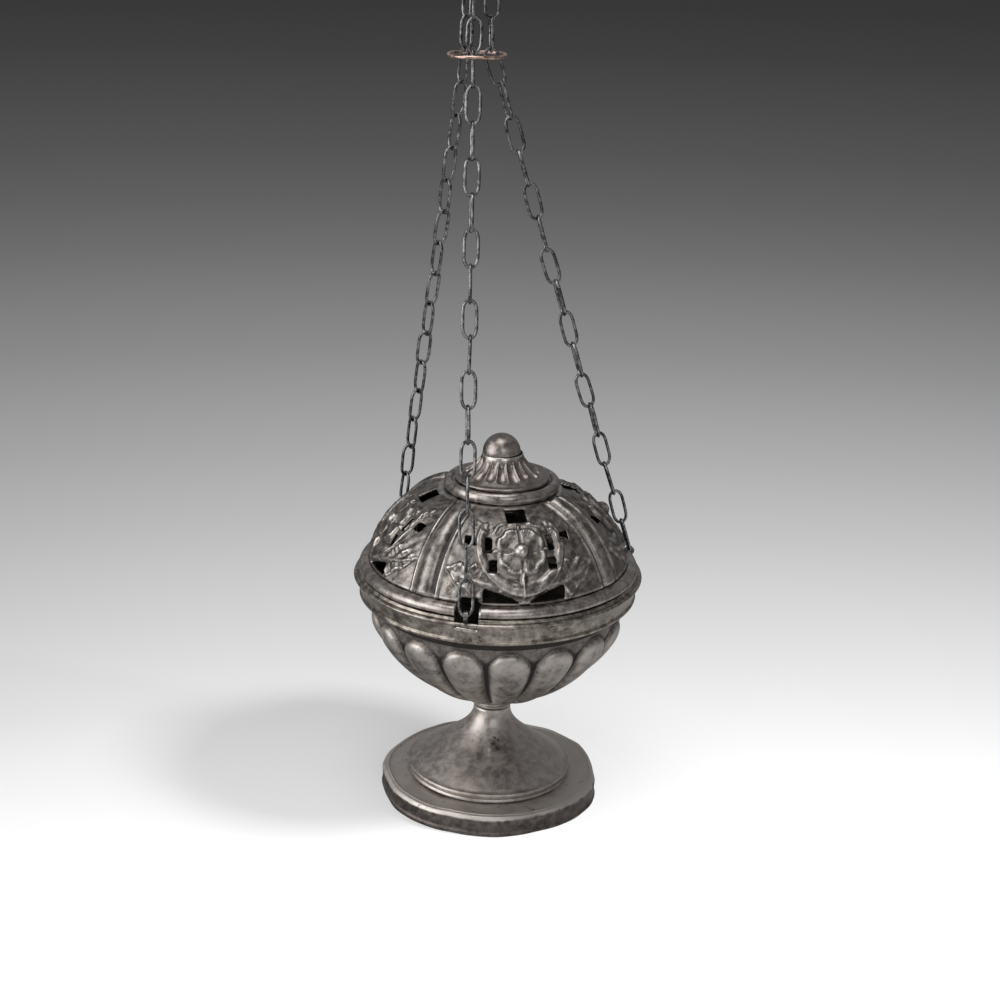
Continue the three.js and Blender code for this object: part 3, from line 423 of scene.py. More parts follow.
def joined(*parts):
    """Several bodies' points and faces as those of one mesh."""
    points = []
    faces = []
    for part_points, part_faces in parts:
        first = len(points)
        points += [tuple(p) for p in part_points]
        faces += [[first + i for i in face] for face in part_faces]
    return points, faces


MERGE = 0.001


def mesh_of(name, points, faces):
    """A mesh in metres from points in millimetres, its doubles merged and its faces turned outwards."""
    mesh = bpy.data.meshes.new(name)
    mesh.from_pydata((np.asarray(points) * MM).tolist(), [], faces)
    shell = bmesh.new()
    shell.from_mesh(mesh)
    bmesh.ops.remove_doubles(shell, verts=shell.verts, dist=MERGE * MM)
    bmesh.ops.dissolve_degenerate(shell, edges=shell.edges, dist=MERGE * MM)
    bmesh.ops.recalc_face_normals(shell, faces=shell.faces)
    shell.to_mesh(mesh)
    shell.free()
    return mesh


def note_rise(mesh, passes):
    """Stores how far each point stands over its smoothed surroundings, in millimetres."""
    count = len(mesh.vertices)
    points = np.empty(count * 3)
    mesh.vertices.foreach_get("co", points)
    points = points.reshape(-1, 3) / MM
    normals = np.empty(count * 3)
    mesh.vertices.foreach_get("normal", normals)
    normals = normals.reshape(-1, 3)
    edges = np.empty(len(mesh.edges) * 2, int)
    mesh.edges.foreach_get("vertices", edges)
    first, second = edges.reshape(-1, 2).T
    degree = np.bincount(np.concatenate((first, second)), minlength=count)[:, None]
    smooth = points.copy()
    for _ in range(passes):
        total = np.zeros_like(smooth)
        np.add.at(total, first, smooth[second])
        np.add.at(total, second, smooth[first])
        smooth = 0.4 * smooth + 0.6 * total / np.maximum(degree, 1)
    rise = np.einsum("ij,ij->i", points - smooth, normals)
    layer = mesh.attributes.new("rise", "FLOAT", "POINT")
    layer.data.foreach_set("value", rise)


def loose_piece(name, mesh):
    piece = bpy.data.objects.new(name, mesh)
    bpy.context.scene.collection.objects.link(piece)
    return piece


def finished(node, make, mesh, body, material, passes=12):
    """Puts a mesh into the scene as the censer's piece in place of a node, named after it and its make."""
    piece = loose_piece(f"{node}_{make}", mesh)
    mesh.polygons.foreach_set("use_smooth", [True] * len(mesh.polygons))
    mesh.materials.clear()
    mesh.materials.append(material)
    if passes:
        note_rise(mesh, passes)
    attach(piece, body)
    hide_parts(node)


def applied(piece):
    """The piece's mesh with its modifiers worked in."""
    bpy.context.view_layer.update()
    evaluated = piece.evaluated_get(bpy.context.evaluated_depsgraph_get())
    mesh = bpy.data.meshes.new_from_object(evaluated)
    mesh.name = piece.name
    piece.modifiers.clear()
    return mesh


# Geometry node trees for what repeats
class Grower(Graph):
    """A geometry node tree in the making, with named inputs for its sizes."""

    def __init__(self, name):
        super().__init__(bpy.data.node_groups.new(name, "GeometryNodeTree"))
        self.values = {}
        self.sources = self.tree.nodes.new("NodeGroupInput")
        self.tree.interface.new_socket("Geometry", in_out="OUTPUT", socket_type="NodeSocketGeometry")

    def size(self, name, value, kind="NodeSocketFloat"):
        socket = self.tree.interface.new_socket(name, in_out="INPUT", socket_type=kind)
        self.values[socket.identifier] = value
        outputs = {output.identifier: output for output in self.sources.outputs}
        return Wire(self, outputs[socket.identifier])

    def close(self, shape, material):
        shape = self.add("GeometryNodeRealizeInstances", {0: shape})
        shape = self.add("GeometryNodeSetMaterial", {"Geometry": shape, "Material": material})
        self.add("NodeGroupOutput", {0: shape})

    def grow(self, name, mesh=None):
        piece = loose_piece(name, mesh or bpy.data.meshes.new(name))
        modifier = piece.modifiers.new("grow", "NODES")
        modifier.node_group = self.tree
        for identifier, value in self.values.items():
            modifier[identifier] = value
        made = applied(piece)
        bpy.data.objects.remove(piece)
        return made


def surface_fields(grower):
    """Azimuth, radius and height of a point, and the geometry that is being shaped."""
    shape = grower.size("Geometry", None, "NodeSocketGeometry")
    grower.values.clear()
    x, y, z = (part / MM for part in grower.parts(grower.add("GeometryNodeInputPosition")))
    azimuth = grower.math("ARCTAN2", x, y * -1)
    radius = grower.math("SQRT", x * x + y * y)
    return shape, azimuth, radius, z


def push_out(grower, shape, azimuth, outwards, upwards):
    """Moves each point by so many millimetres away from the axis and up."""
    x = grower.math("SINE", azimuth) * outwards * MM
    y = grower.math("COSINE", azimuth) * outwards * -MM
    offset = grower.add("ShaderNodeCombineXYZ", {0: x, 1: y, 2: upwards * MM})
    return grower.add("GeometryNodeSetPosition", {"Geometry": shape, "Offset": offset})


# Foot: a dented base, a trumpet-shaped cone and the collar over it
FOOT_RADIUS = reach("foot_base")
FOOT_HEIGHT = high("foot_base")
SHEET = 1.2
DISC_RADIUS = reach("foot_cone")
DISC_BOTTOM = low("foot_cone")
NECK_TOP = high("foot_cone")
NECK_RADIUS = 7.2
FOOT_BORE = 2  # for the screw
DISC_STEP = 3.3
# Where the skirt was knocked in or out, and its burr: azimuth, half width, depth
SKIRT_DENTS = (
    (97, 15, 1.5), (122, 5, -0.7), (-72, 12, 0.5), (-20, 9, 0.35), (28, 14, 0.5), (-128, 16, 0.8),
    (170, 20, 0.6),
)
BURR = (-84, 1.6, -1.3)
BURR_BELOW_TOP = 3.6
CONE_DENT = (350, 9, 0.6)
CONE_DENT_HEIGHT = 23
# The worn foot no longer stands quite true: shift towards +X and clockwise tilt of its pieces
BASE_SHIFT = -1.45
BASE_TILT = 0.6
CONE_SHIFT = -1.1
CONE_SPREAD = -1.0
CONE_TILT = 1.3
COLLAR_SHIFT = -0.9


def dented(azimuths, radii, heights):
    degrees = np.degrees(azimuths)
    skirt = np.clip((radii - FOOT_RADIUS + 4.5) / 4, 0, 1)
    change = waves(azimuths, (0.12, 7, 1), (0.1, 11, 0.4), (0.06, 23, 0))
    for centre, width, depth in SKIRT_DENTS:
        change = change - depth * np.exp(-((apart(degrees, centre) / width) ** 2))
    centre, width, depth = BURR
    level = np.exp(-(((heights - FOOT_HEIGHT + BURR_BELOW_TOP) / 0.9) ** 2))
    burr = depth * level * np.exp(-((apart(degrees, centre) / width) ** 2))
    sag = waves(azimuths, (0.16, 5, 2), (0.1, 13, 0))
    raised = heights + sag * np.clip(heights / FOOT_HEIGHT, 0, 1)
    return radii + (change - burr) * skirt, raised


def settled(points, shift, tilt, spread=0.0):
    """Moves a piece sideways and tips it by so many degrees, all but its ground edge.

    With a spread, the tip and that much more shift grow from the neck down to the disc.
    """
    points = points.copy()
    height = points[:, 2]
    fall = np.clip((NECK_TOP - height) / (NECK_TOP - DISC_BOTTOM), 0, 1) if spread else 0
    share = fall if spread else height > 0.5
    points[:, 2] = height - math.tan(math.radians(tilt)) * points[:, 0] * share
    points[:, 0] += shift + spread * fall
    return points


def foot_base():
    top = FOOT_HEIGHT
    edge = FOOT_RADIUS
    inner = edge - SHEET
    seat = DISC_RADIUS - 2.5
    seat_steps = ((1.2, -0.05), (0, 0), (-2, 0), (-2, -SHEET))
    outline = eased([
        (inner, 0), (edge + 0.2, 0), (edge + 0.3, 1.2), (edge - 0.2, 1.9),
        *about(edge, top, (0.1, -1.6), (-0.9, -0.35), (-1.7, -0.3), (-2.3, 0.1), (-2.9, -0.5), (-4.5, -0.55)),
        *about(seat, top, *seat_steps), *about(inner, top, (-1, -SHEET - 0.6), (-0.2, -2.8)), (inner, 0),
    ], 0.45)[:-1]
    points, faces = turned(outline, 300, shape=dented)
    mesh = mesh_of("foot_base", settled(points, BASE_SHIFT, BASE_TILT), faces)
    finished("foot_base", "worn", mesh, "vessel", FOOT_SILVER, passes=18)


def foot_cone():
    top = DISC_BOTTOM + DISC_STEP
    rim = DISC_RADIUS
    neck = about(NECK_RADIUS, NECK_TOP, (0, -0.6), (-0.2, -8.5))
    flare = bezier(*neck, *about(rim, top, (-13.6, 9.2), (-1.1, 0.25)), 44)
    edge = eased([
        *about(rim, top, (-1.1, 0.25), (-0.3, 0.05), (0, -0.6), (-0.1, -1.6), (-0.45, -2), (-0.15, -2.4)),
        *about(rim, DISC_BOTTOM, (0.1, 0.1), (-1.4, 0), (-2.2, 0.6)),
    ], 0.35, 3)
    bore = FOOT_BORE
    inside = [(max(radius - SHEET, bore), height - SHEET) for radius, height in reversed(flare[4:])]
    outline = [(bore, NECK_TOP), (NECK_RADIUS - 0.6, NECK_TOP), *flare, *edge[1:], *inside]
    outline.append((bore, inside[-1][1]))
    centre, width, depth = CONE_DENT

    def uneven(azimuths, radii, heights):
        free = np.clip((radii - NECK_RADIUS) / 10, 0, 1)
        wave = waves(azimuths, (0.1, 3, 1.2), (0.07, 5, heights * 0.3))
        aside = (np.degrees(azimuths) - centre) / width
        dent = depth * np.exp(-(aside ** 2) - ((heights - CONE_DENT_HEIGHT) / 4) ** 2)
        return radii + (wave - dent) * free, heights

    points, faces = turned(outline, 240, shape=uneven)
    mesh = mesh_of("foot_cone", settled(points, CONE_SHIFT, CONE_TILT, CONE_SPREAD), faces)
    finished("foot_cone", "smooth", mesh, "vessel", CONE_SILVER, passes=14)


def neck_collar():
    bottom, top, radius = low("neck_collar"), high("neck_collar"), reach("neck_collar")
    outline = [
        (FOOT_BORE, bottom), *about(radius, bottom, (-0.9, 0), (-0.1, 0.4), (0, 1.1), (-0.5, 1.4)),
        *about(radius, top, (-0.5, -0.2), (-0.9, 0)), (FOOT_BORE, top),
    ]
    points, faces = turned(ring_eased(outline, 0.3), 96)
    mesh = mesh_of("neck_collar", settled(points, COLLAR_SHIFT, 0), faces)
    finished("neck_collar", "round", mesh, "vessel", CONE_SILVER)


# Bowl: sixteen arched lobes beaten out of a full curve, under a plain hollowed zone
BOWL_BOTTOM = low("bowl")
BOWL_TOP = high("bowl")
BOWL_EDGE_RADIUS = reach("bowl")
CREST_RADIUS = 50.2
LOBED_HEIGHT = 39
COVE_HEIGHT = 6
LOBES = 16
LOBE_RELIEF = 3.3
LOBE_FADE = 9
FIRST_LOBE = 6.6
FLOOR_RADIUS = 8
BOWL_ROUNDNESS = 1.5
BOWL_FULLNESS = 0.6
LOBE_TOP = BOWL_BOTTOM + LOBED_HEIGHT
COVE_TOP = LOBE_TOP + COVE_HEIGHT


def bowl_ground(height):
    fall = min(max((LOBE_TOP - height) / LOBED_HEIGHT, 0), 1)
    crest = CREST_RADIUS * (1 - fall ** BOWL_ROUNDNESS) ** BOWL_FULLNESS
    t = min(max((height - BOWL_BOTTOM) / LOBE_FADE, 0), 1)
    return max(crest - LOBE_RELIEF * t * t * (3 - 2 * t), FLOOR_RADIUS)


def bowl_field(grower, height):
    """The ground radius of the bowl as a field, to tell its outer face from its inner one."""
    fall = grower.math("MINIMUM", grower.math("MAXIMUM", (LOBE_TOP - height) / LOBED_HEIGHT, 0), 1)
    crest = (1 - fall ** BOWL_ROUNDNESS) ** BOWL_FULLNESS * CREST_RADIUS
    faded = grower.step(height, BOWL_BOTTOM, BOWL_BOTTOM + LOBE_FADE) * LOBE_RELIEF
    return grower.math("MAXIMUM", crest - faded, FLOOR_RADIUS)


def bowl_blank():
    rises = np.concatenate((np.linspace(0, 6, 12), np.linspace(6.7, LOBED_HEIGHT, 56)))
    outer = [(bowl_ground(BOWL_BOTTOM + rise), BOWL_BOTTOM + rise) for rise in rises]
    start = outer[-1][0]
    growth = BOWL_EDGE_RADIUS - start
    cove = [(start + growth * t ** 2.2, LOBE_TOP + COVE_HEIGHT * t) for t in np.linspace(0.1, 1, 12)]
    inner = [(radius - SHEET, height + 0.4) for radius, height in outer[::4] if height > BOWL_BOTTOM + 1.5]
    wall = BOWL_EDGE_RADIUS - SHEET
    edge = about(BOWL_EDGE_RADIUS, BOWL_TOP, (0, -0.3), (-0.4, 0))
    edge += about(wall, BOWL_TOP, (0.4, 0), (0, -0.4))
    inside = [(wall, COVE_TOP), *reversed(inner), (0, BOWL_BOTTOM + 1.6)]
    profile = [(0, BOWL_BOTTOM), *outer, *cove, *edge, *inside]
    return mesh_of("bowl_blank", *turned(profile, 384, closed=False))


def bowl():
    grower = Grower("lobes")
    shape, azimuth, radius, height = surface_fields(grower)
    count = grower.size("Lobe count", float(LOBES))
    relief = grower.size("Lobe relief", LOBE_RELIEF)
    first = grower.size("First lobe azimuth", math.radians(FIRST_LOBE))
    top = grower.size("Top of the lobes", LOBE_TOP)
    pitch = 2 * math.pi / count
    turns = (azimuth - first) / pitch
    across = abs(turns - grower.math("ROUND", turns)) * 2
    depth = top - height
    full = grower.step(height, BOWL_BOTTOM, BOWL_BOTTOM + LOBE_FADE)
    arch_radius = radius * math.pi / count
    short = grower.math("MAXIMUM", 1 - depth / arch_radius, 0)
    side = grower.math("MINIMUM", across / 0.93, 1.2)
    inside = grower.math("MAXIMUM", 1 - side * side - short * short, 0)
    swell = inside ** 0.5
    edge = grower.step(inside, 0.0, 0.2)
    crease = grower.step(abs(inside - 0.06), 0.14, 0.0) * grower.step(depth, -1, 10, 0.3, 0.0) * edge
    beaten = grower.step(depth, -0.2, 0.5) * grower.step(radius, FLOOR_RADIUS, FLOOR_RADIUS + 4)
    outside = grower.step(radius - bowl_field(grower, height), -0.5, -0.2)
    lift = (swell * relief * full - crease) * beaten * outside
    shaped = push_out(grower, shape, azimuth, lift, lift * -0.12)
    grower.close(shaped, BOWL_SILVER)
    mesh = grower.grow("bowl_lobed", bowl_blank())
    finished("bowl", "lobed", mesh, "vessel", BOWL_SILVER, passes=26)


# Rim band of the bowl and the slots that the chains come through
RIM_BOTTOM = low("rim_band")
RIM_TOP = high("rim_band")
FLANGE_RADIUS = reach("rim_band")
BAND_RADIUS = 52.5
SLOT_WIDTH = 9
SLOT_RIM = 0.9
SLOT_CORNER = 2
CLEARANCE = 0.3


def slot_cutter(bottom, top, inner, outer):
    """One mesh of the three slots' spaces, each a block that reaches from one radius to another."""
    half = SLOT_WIDTH / 2
    corners = ((-half, bottom), (half, bottom), (half, top), (-half, top))
    blocks = []
    for azimuth in CHAIN_AZIMUTHS.values():
        angle = math.radians(azimuth)
        outward = Vector((math.sin(angle), -math.cos(angle), 0))
        beside = Vector((math.cos(angle), math.sin(angle), 0))
        near = [outward * inner + beside * x + Vector((0, 0, z)) for x, z in corners]
        far = [corner + outward * (outer - inner) for corner in near]
        blocks.append((near + far, [(0, 1, 2, 3), (7, 6, 5, 4), *grid_faces(2, len(corners))]))
    return mesh_of("slots", *joined(*blocks))


def rim_band():
    bottom, top, band, flange = RIM_BOTTOM, RIM_TOP, BAND_RADIUS, FLANGE_RADIUS
    bore = BOWL_EDGE_RADIUS + CLEARANCE
    shoulder = bore - 1.2
    under = BOWL_TOP + CLEARANCE
    outline = [
        (bore, bottom), *about(band, bottom, (0.1, 0), (0.6, 0.5), (0.65, 1.2), (0.2, 1.7), (0.1, 2.2)),
        (band + 0.7, bottom + 4.6),
        *about(flange, under, (-0.95, -0.5), (-0.7, 0), (-0.1, 0.3), (0, 1), (-0.5, 1.45), (-1.3, 1.65)),
        (flange - 1.6, under + 1.55), (flange - 2.2, top - 0.1),
        (shoulder, top), (shoulder, under), (bore, under),
    ]

    def uneven(azimuths, radii, heights):
        wave = waves(azimuths, (0.12, 4, 0.6), (0.07, 9, 2))
        return radii + wave * (radii > bore + 0.5), heights + waves(azimuths, (0.1, 5, 1))

    mesh = mesh_of("rim_band", *turned(ring_eased(outline, 0.45), 360, shape=uneven))
    band_piece = loose_piece("rim_band_worked", mesh)
    cutter = loose_piece("slot_space", slot_cutter(under - 1, top + 2, shoulder - 2, flange - SLOT_RIM))
    cut = band_piece.modifiers.new("slots", "BOOLEAN")
    cut.operation = "DIFFERENCE"
    cut.object = cutter
    made = applied(band_piece)
    bpy.data.objects.remove(band_piece)
    bpy.data.objects.remove(cutter)
    finished("rim_band", "worn", made, "vessel", BAND_SILVER, passes=12)


# Lid
LID_BOTTOM = low("lid_dome")
MOULDING_DROP = 1.3  # the worn moulding lies so much lower than the plain one
MOULDING_TOP = high("lid_moulding_back") - MOULDING_DROP
MOULDING_OUTER = 53.5
DOME_RADIUS = 49.4
DOME_HEIGHT = 30
DOME_ROUNDNESS = 1.35
DOME_FULLNESS = 0.31
SEAT_RADIUS = 22.6
SEAT_TOP = high("lid_dome")
SLOT_TOP = high("lid_moulding_back") + 1
SLOT_MARGIN = 0.05  # degrees
FIRST_PANEL = 12
PANELS = 4
PANEL_TURN = 360 / PANELS
DOME_COLUMNS = 720
DOME_ROWS = 92


def lid_mouldings():
    inner = DOME_RADIUS + 0.25
    outer = MOULDING_OUTER
    bottom, top = LID_BOTTOM, MOULDING_TOP
    outline = [(inner, bottom), (outer - 0.7, bottom), (outer - 0.1, bottom + 0.3)]
    round_back = [(3 * math.cos(a), 2.7 * math.sin(a)) for a in np.linspace(0.1, 1.35, 9)]
    outline += about(outer - 3, bottom + 0.9, *round_back)
    outline += [(outer - 2.8, top - 0.15), (outer - 3.2, top), (inner, top)]
    half = math.degrees(math.asin(SLOT_WIDTH / 2 / outer))

    def uneven(azimuths, radii, heights):
        wave = waves(azimuths, (0.1, 6, 0)) * (radii > inner + 0.5)
        return radii + wave, heights + waves(azimuths, (0.06, 9, 0))

    for side, azimuth in zip(("right", "back", "left"), CHAIN_AZIMUTHS.values()):
        start = azimuth + half + SLOT_MARGIN
        end = azimuth + 360 / len(CHAIN_AZIMUTHS) - half - SLOT_MARGIN
        ring = turned(ring_eased(outline, 0.3, 3), 110, start=start, end=end, shape=uneven)
        mesh = mesh_of(f"moulding_{side}", *ring)
        node = f"lid_moulding_{side}"
        finished(node, "round", mesh, "lid", MOULDING_SILVER)


class DomeFace:
    """The dome's outer face as a line from its foot to its middle, by distance along the sheet."""

    def __init__(self):
        shares = np.cos(np.linspace(0, 1, 400) * math.pi / 2) ** 0.8
        radii = SEAT_RADIUS + (DOME_RADIUS - SEAT_RADIUS) * shares
        rise = (1 - (radii / DOME_RADIUS) ** (1 / DOME_FULLNESS)) ** (1 / DOME_ROUNDNESS)
        radii = np.concatenate(([DOME_RADIUS], radii, [2.2]))
        heights = np.concatenate(([LID_BOTTOM], MOULDING_TOP + DOME_HEIGHT * rise, [SEAT_TOP]))
        along = np.concatenate(([0], np.cumsum(np.hypot(np.diff(radii), np.diff(heights)))))
        self.radii = radii
        self.heights = heights
        self.along = along - np.interp(MOULDING_TOP, heights[:3], along[:3])
        self.foot = self.along[0]
        self.seat = self.along[-2]
        self.end = self.along[-1]

    def radius(self, along):
        return np.interp(along, self.along, self.radii)

    def height(self, along):
        return np.interp(along, self.along, self.heights)

    def at_height(self, height):
        return float(np.interp(height, self.heights[:-1], self.along[:-1]))

    def normal(self, along):
        step = 0.4
        across = self.radius(along + step) - self.radius(along - step)
        up = self.height(along + step) - self.height(along - step)
        size = np.hypot(across, up)
        return up / size, -across / size


DOME = DomeFace()
ROSETTE_RISE = 21.2  # of its centre over the lid's lower edge
ROSETTE_ALONG = DOME.at_height(LID_BOTTOM + ROSETTE_RISE)


def bump_of(distance, half_width, power=1.0):
    """A round-backed ridge: 1 on its middle line and 0 from its half width on."""
    return np.clip(1 - (np.abs(distance) / half_width) ** 2, 0, 1) ** power


def ease(value, start, end):
    t = np.clip((value - start) / (end - start), 0, 1)
    return t * t * (3 - 2 * t)


def angle_about(x, y):
    """Degrees anticlockwise from the right, 0 to 360, as seen from outside."""
    return np.degrees(np.arctan2(y, x)) % 360


# Ornament of a panel in (x, y): millimetres to the right of its middle and up from the rosette's centre
STRAP_RADIUS = 14.9
STRAP_HALF_WIDTH = 1.75
STRAP_END = 32  # degrees over the level at which the horseshoe's ends stop
PETAL_REACH = 10.3
BOSS_RADIUS = 2.75
BOSS_HEIGHT = 2.2
LEAF_ROOT = (7.5, -13.2)
LEAF_LENGTH = 22
SPRAY_CENTRE = (13.2, 9.6)
STEM_ASIDE = -0.4


def rosette(x, y):
    away = np.hypot(x, y)
    around = np.arctan2(y, x)
    petal = np.abs(np.sin(2 * around))
    quarter = (np.degrees(around) + 45) % 90
    notch = bump_of(quarter, 12) + bump_of(quarter - 90, 12)
    edge = PETAL_REACH * (0.86 + 0.14 * petal ** 0.7) - 0.75 * notch
    inside = ease(edge - away, 0, 1.3)
    rim = bump_of(edge - away - 1.2, 1.3)
    dish = 0.5 + 0.35 * (away / PETAL_REACH) ** 2
    seam = bump_of(np.minimum(np.abs(x), np.abs(y)), 0.65)
    vein = 0.07 * np.cos(np.degrees(around) * 0.9) * ease(away, 3, 6)
    body = inside * (dish + vein + 0.3 * rim - 0.6 * seam * ease(away, 2.4, 3.6))
    tips = 0.0
    for turn in (90, 180, 270, 0):
        side = math.radians(turn)
        forward = x * math.cos(side) + y * math.sin(side)
        aside = -x * math.sin(side) + y * math.cos(side)
        tips = np.maximum(tips, bump_of(aside, 0.85) * bump_of(forward - PETAL_REACH + 0.9, 1.8) * 1.1)
    boss = np.sqrt(np.clip(1 - (away / BOSS_RADIUS) ** 2, 0, 1)) * BOSS_HEIGHT
    collar = bump_of(away - 3.3, 0.7) * 0.35
    return np.maximum.reduce((body, tips, boss + 0.5 * (away < BOSS_RADIUS), collar + body * 0.8))


def horseshoe(x, y):
    away = np.hypot(x, y)
    around = angle_about(x, y)
    past = np.minimum(np.abs(apart(around, STRAP_END)), np.abs(apart(around, 180 - STRAP_END)))
    open_top = (around > STRAP_END) & (around < 180 - STRAP_END)
    fade = np.where(open_top, np.clip(1 - past / 4, 0, 1), 1.0)
    low_part = np.clip(-np.sin(np.radians(around)), 0, 1)
    widen = 1 + 0.65 * low_part ** 2
    offset = away - STRAP_RADIUS + 0.5 * low_part
    band = bump_of(offset, STRAP_HALF_WIDTH * widen, 0.7) * 1.15
    outer_edge = bump_of(offset - 1.15 * widen, 0.65) * 0.45
    return (band + outer_edge) * fade


def stem(x, y):
    reach_down = ease(-y, 7.5, 10) * ease(y, -18.5, -16)
    return bump_of(x - STEM_ASIDE, 0.95 + 0.25 * np.clip(-y - 9, 0, 8) / 8) * reach_down * 1.5


def wavy_edge(x, y):
    away = np.hypot(x, y)
    around = angle_about(x, y)
    line = 12.2 + 0.45 * np.cos(np.radians(around) * 9)
    span = ease(around, 30, 42) * ease(around, 150, 138)
    inside = ease(line - away, -0.4, 0.8) * ease(away, 9.5, 10.5) * 0.25
    return (bump_of(away - line, 0.7) * 0.75 + inside) * span


def leaf(x, y, side):
    """An acanthus leaf that springs from the strap's foot and fills the panel's lower corner."""
    forward = x * side - LEAF_ROOT[0]
    bend = y - LEAF_ROOT[1] - 0.012 * forward ** 2 - 0.2
    t = np.clip(forward / LEAF_LENGTH, 0, 1)
    width = 6.6 * np.sin(math.pi * np.clip(t, 0.02, 1) ** 0.75) ** 0.8 + 0.3
    lobes = 1 + 0.16 * np.cos(forward * 1.05 + 0.8 * np.sign(bend) + np.abs(bend) * 0.3)
    edge = width * lobes - np.abs(bend)
    inside = ease(edge, 0, 1.3) * (forward > 0) * (forward < LEAF_LENGTH)
    rib = bump_of(bend, 0.9) * 0.45
    veins = 0.22 * np.cos(forward * 1.15 - np.abs(bend) * 0.9) + 0.08 * np.cos(forward * 3.1 + bend * 2.2)
    curl = 0.4 * bump_of(edge - 1.2, 1.3)
    return inside * (0.5 + rib + veins * ease(np.abs(bend), 0.5, 1.5) + curl * 0.8)


def spray(x, y, side):
    """A low sprig with a floret in the panel's upper corner."""
    dx = x * side - SPRAY_CENTRE[0]
    dy = y - SPRAY_CENTRE[1]
    away = np.hypot(dx, dy)
    around = np.arctan2(dy, dx)
    floret = ease(3.1 + 0.6 * np.cos(5 * around) - away, 0, 0.9) * 0.38 + bump_of(away, 0.9) * 0.35
    twig = bump_of(dy + 2.5 - 0.12 * dx ** 2, 0.5) * (np.abs(dx) < 5) * 0.3
    return np.maximum(floret, twig)


def ground_work(x, y, turn):
    """Punched texture and the unevenness of beaten sheet."""
    punched = 0.05 * np.sin(3.9 * x + 1.3 * np.sin(2.3 * y)) * np.sin(4.3 * y + 1.1 * np.sin(2.9 * x))
    beaten = 0.12 * np.sin(0.55 * x + turn) * np.sin(0.6 * y + 2 * turn)
    return punched + beaten + 0.07 * np.sin(1.3 * x - 0.9 * y + turn)


RIB_HALF_WIDTH = 3.5
FILLET_DISTANCE = 5.3


def rib_work(distance, narrowing):
    """A round-backed rib between two fine fillets, by the distance from its middle line."""
    half = RIB_HALF_WIDTH * narrowing
    back = bump_of(distance, half, 0.62) * 1.75
    line = FILLET_DISTANCE * narrowing
    fillet = bump_of(distance - line, 0.95) * 0.65
    groove = -0.35 * bump_of(distance - (half + line) / 2 + 0.15, 0.8)
    return back + fillet + groove


def panel_place(turn, along, radius):
    """The panel that a point lies in, its degrees and its (x, y) there."""
    local = (turn - FIRST_PANEL + PANEL_TURN / 2) % PANEL_TURN - PANEL_TURN / 2
    panel = np.round((turn - FIRST_PANEL - local) / PANEL_TURN)
    return panel, local, np.radians(local) * radius, along - ROSETTE_ALONG


def dome_relief(turn, along, radius):
    """Relief in millimetres at azimuths and distances along the sheet."""
    panel, local, x, y = panel_place(turn, along, radius)
    narrowing = 0.66 + 0.34 * radius / DOME_RADIUS
    rib_distance = np.radians(PANEL_TURN / 2 - np.abs(local)) * radius
    ornament = np.maximum.reduce((
        rosette(x, y), horseshoe(x, y), stem(x, y), wavy_edge(x, y),
        leaf(x, y, 1), leaf(x, y, -1), spray(x, y, 1), spray(x, y, -1),
    ))
    fillet = FILLET_DISTANCE * narrowing
    free = ease(rib_distance, fillet + 0.6, fillet + 2.2)
    free = free * ease(along, 1.0, 2.2)
    lift = ornament * free * ease(along, 0.4, 1.6)
    lift = lift + rib_work(rib_distance, narrowing) * ease(along, -0.6, 1.4)
    lift = lift + ground_work(x, y, 1.7 * panel) * free
    lift = lift * ease(piercing_distance(turn, along, radius), -0.4, 1.3)
    lift = lift + 0.5 * bump_of(along - 0.9, 0.9) * (1 - bump_of(rib_distance, 4))
    return lift * ease(DOME.seat - along, 0.2, 2.2)


# Piercings of a panel: across and up from the rosette's centre, width and height
TOP_PIERCING = (0.4, 15.9, 7.8, 7.6)
SIDE_PIERCINGS = ((11.5, 2.4, 2.6, 6.2), (11, -5.2, 3.2, 4.4), (18.2, 3.7, 4, 3.8))
PIERCINGS = [TOP_PIERCING, *((side * across, *rest) for across, *rest in SIDE_PIERCINGS for side in (-1, 1))]
CRESCENT_REACH = 18.2
CRESCENT_RISE = 5.8


def box_distance(x, y, half_width, half_height, corner):
    dx = np.abs(x) - half_width + corner
    dy = np.abs(y) - half_height + corner
    return np.hypot(np.maximum(dx, 0), np.maximum(dy, 0)) + np.minimum(np.maximum(dx, dy), 0) - corner


def piercing_distance(turn, along, radius):
    """Distance to the nearest piercing's edge in millimetres, negative inside."""
    panel, _, x, y = panel_place(turn, along, radius)
    nearest = np.full(np.broadcast(turn, along).shape, 99.0)
    for number, (across, up, width, height) in enumerate(PIERCINGS):
        shift = 0.3 * np.sin(2.1 * panel + 1.7 * number)
        lean = 0.12 * np.sign(across) * (abs(across) > 5) * (y - up)
        hole = box_distance(x - across - shift + lean, y - up + shift / 2, width / 2, height / 2, 0.5)
        nearest = np.minimum(nearest, hole)
    beyond_strap = STRAP_RADIUS + STRAP_HALF_WIDTH - np.hypot(x, y)
    beside_stem = np.abs(x - STEM_ASIDE)
    past_stem = 1.9 - beside_stem
    reach_out = np.abs(x) - np.radians(CRESCENT_REACH) * radius
    over_top = along - CRESCENT_RISE * np.clip((beside_stem - 1.2) / 13, 0, 1) ** 0.55
    crescent = np.maximum.reduce((beyond_strap, past_stem, reach_out, over_top, 0.35 - along))
    nearest = np.minimum(nearest, crescent)
    for azimuth in CHAIN_AZIMUTHS.values():
        aside = apart(turn, azimuth)
        across = radius * np.sin(np.radians(np.clip(aside, -60, 60)))
        up = DOME.height(along)
        half = SLOT_WIDTH / 2
        corner = (np.abs(across) - half + up - SLOT_TOP + SLOT_CORNER) / math.sqrt(2)
        nearest = np.minimum(nearest, np.maximum.reduce((np.abs(across) - half, up - SLOT_TOP, corner)))
    return nearest


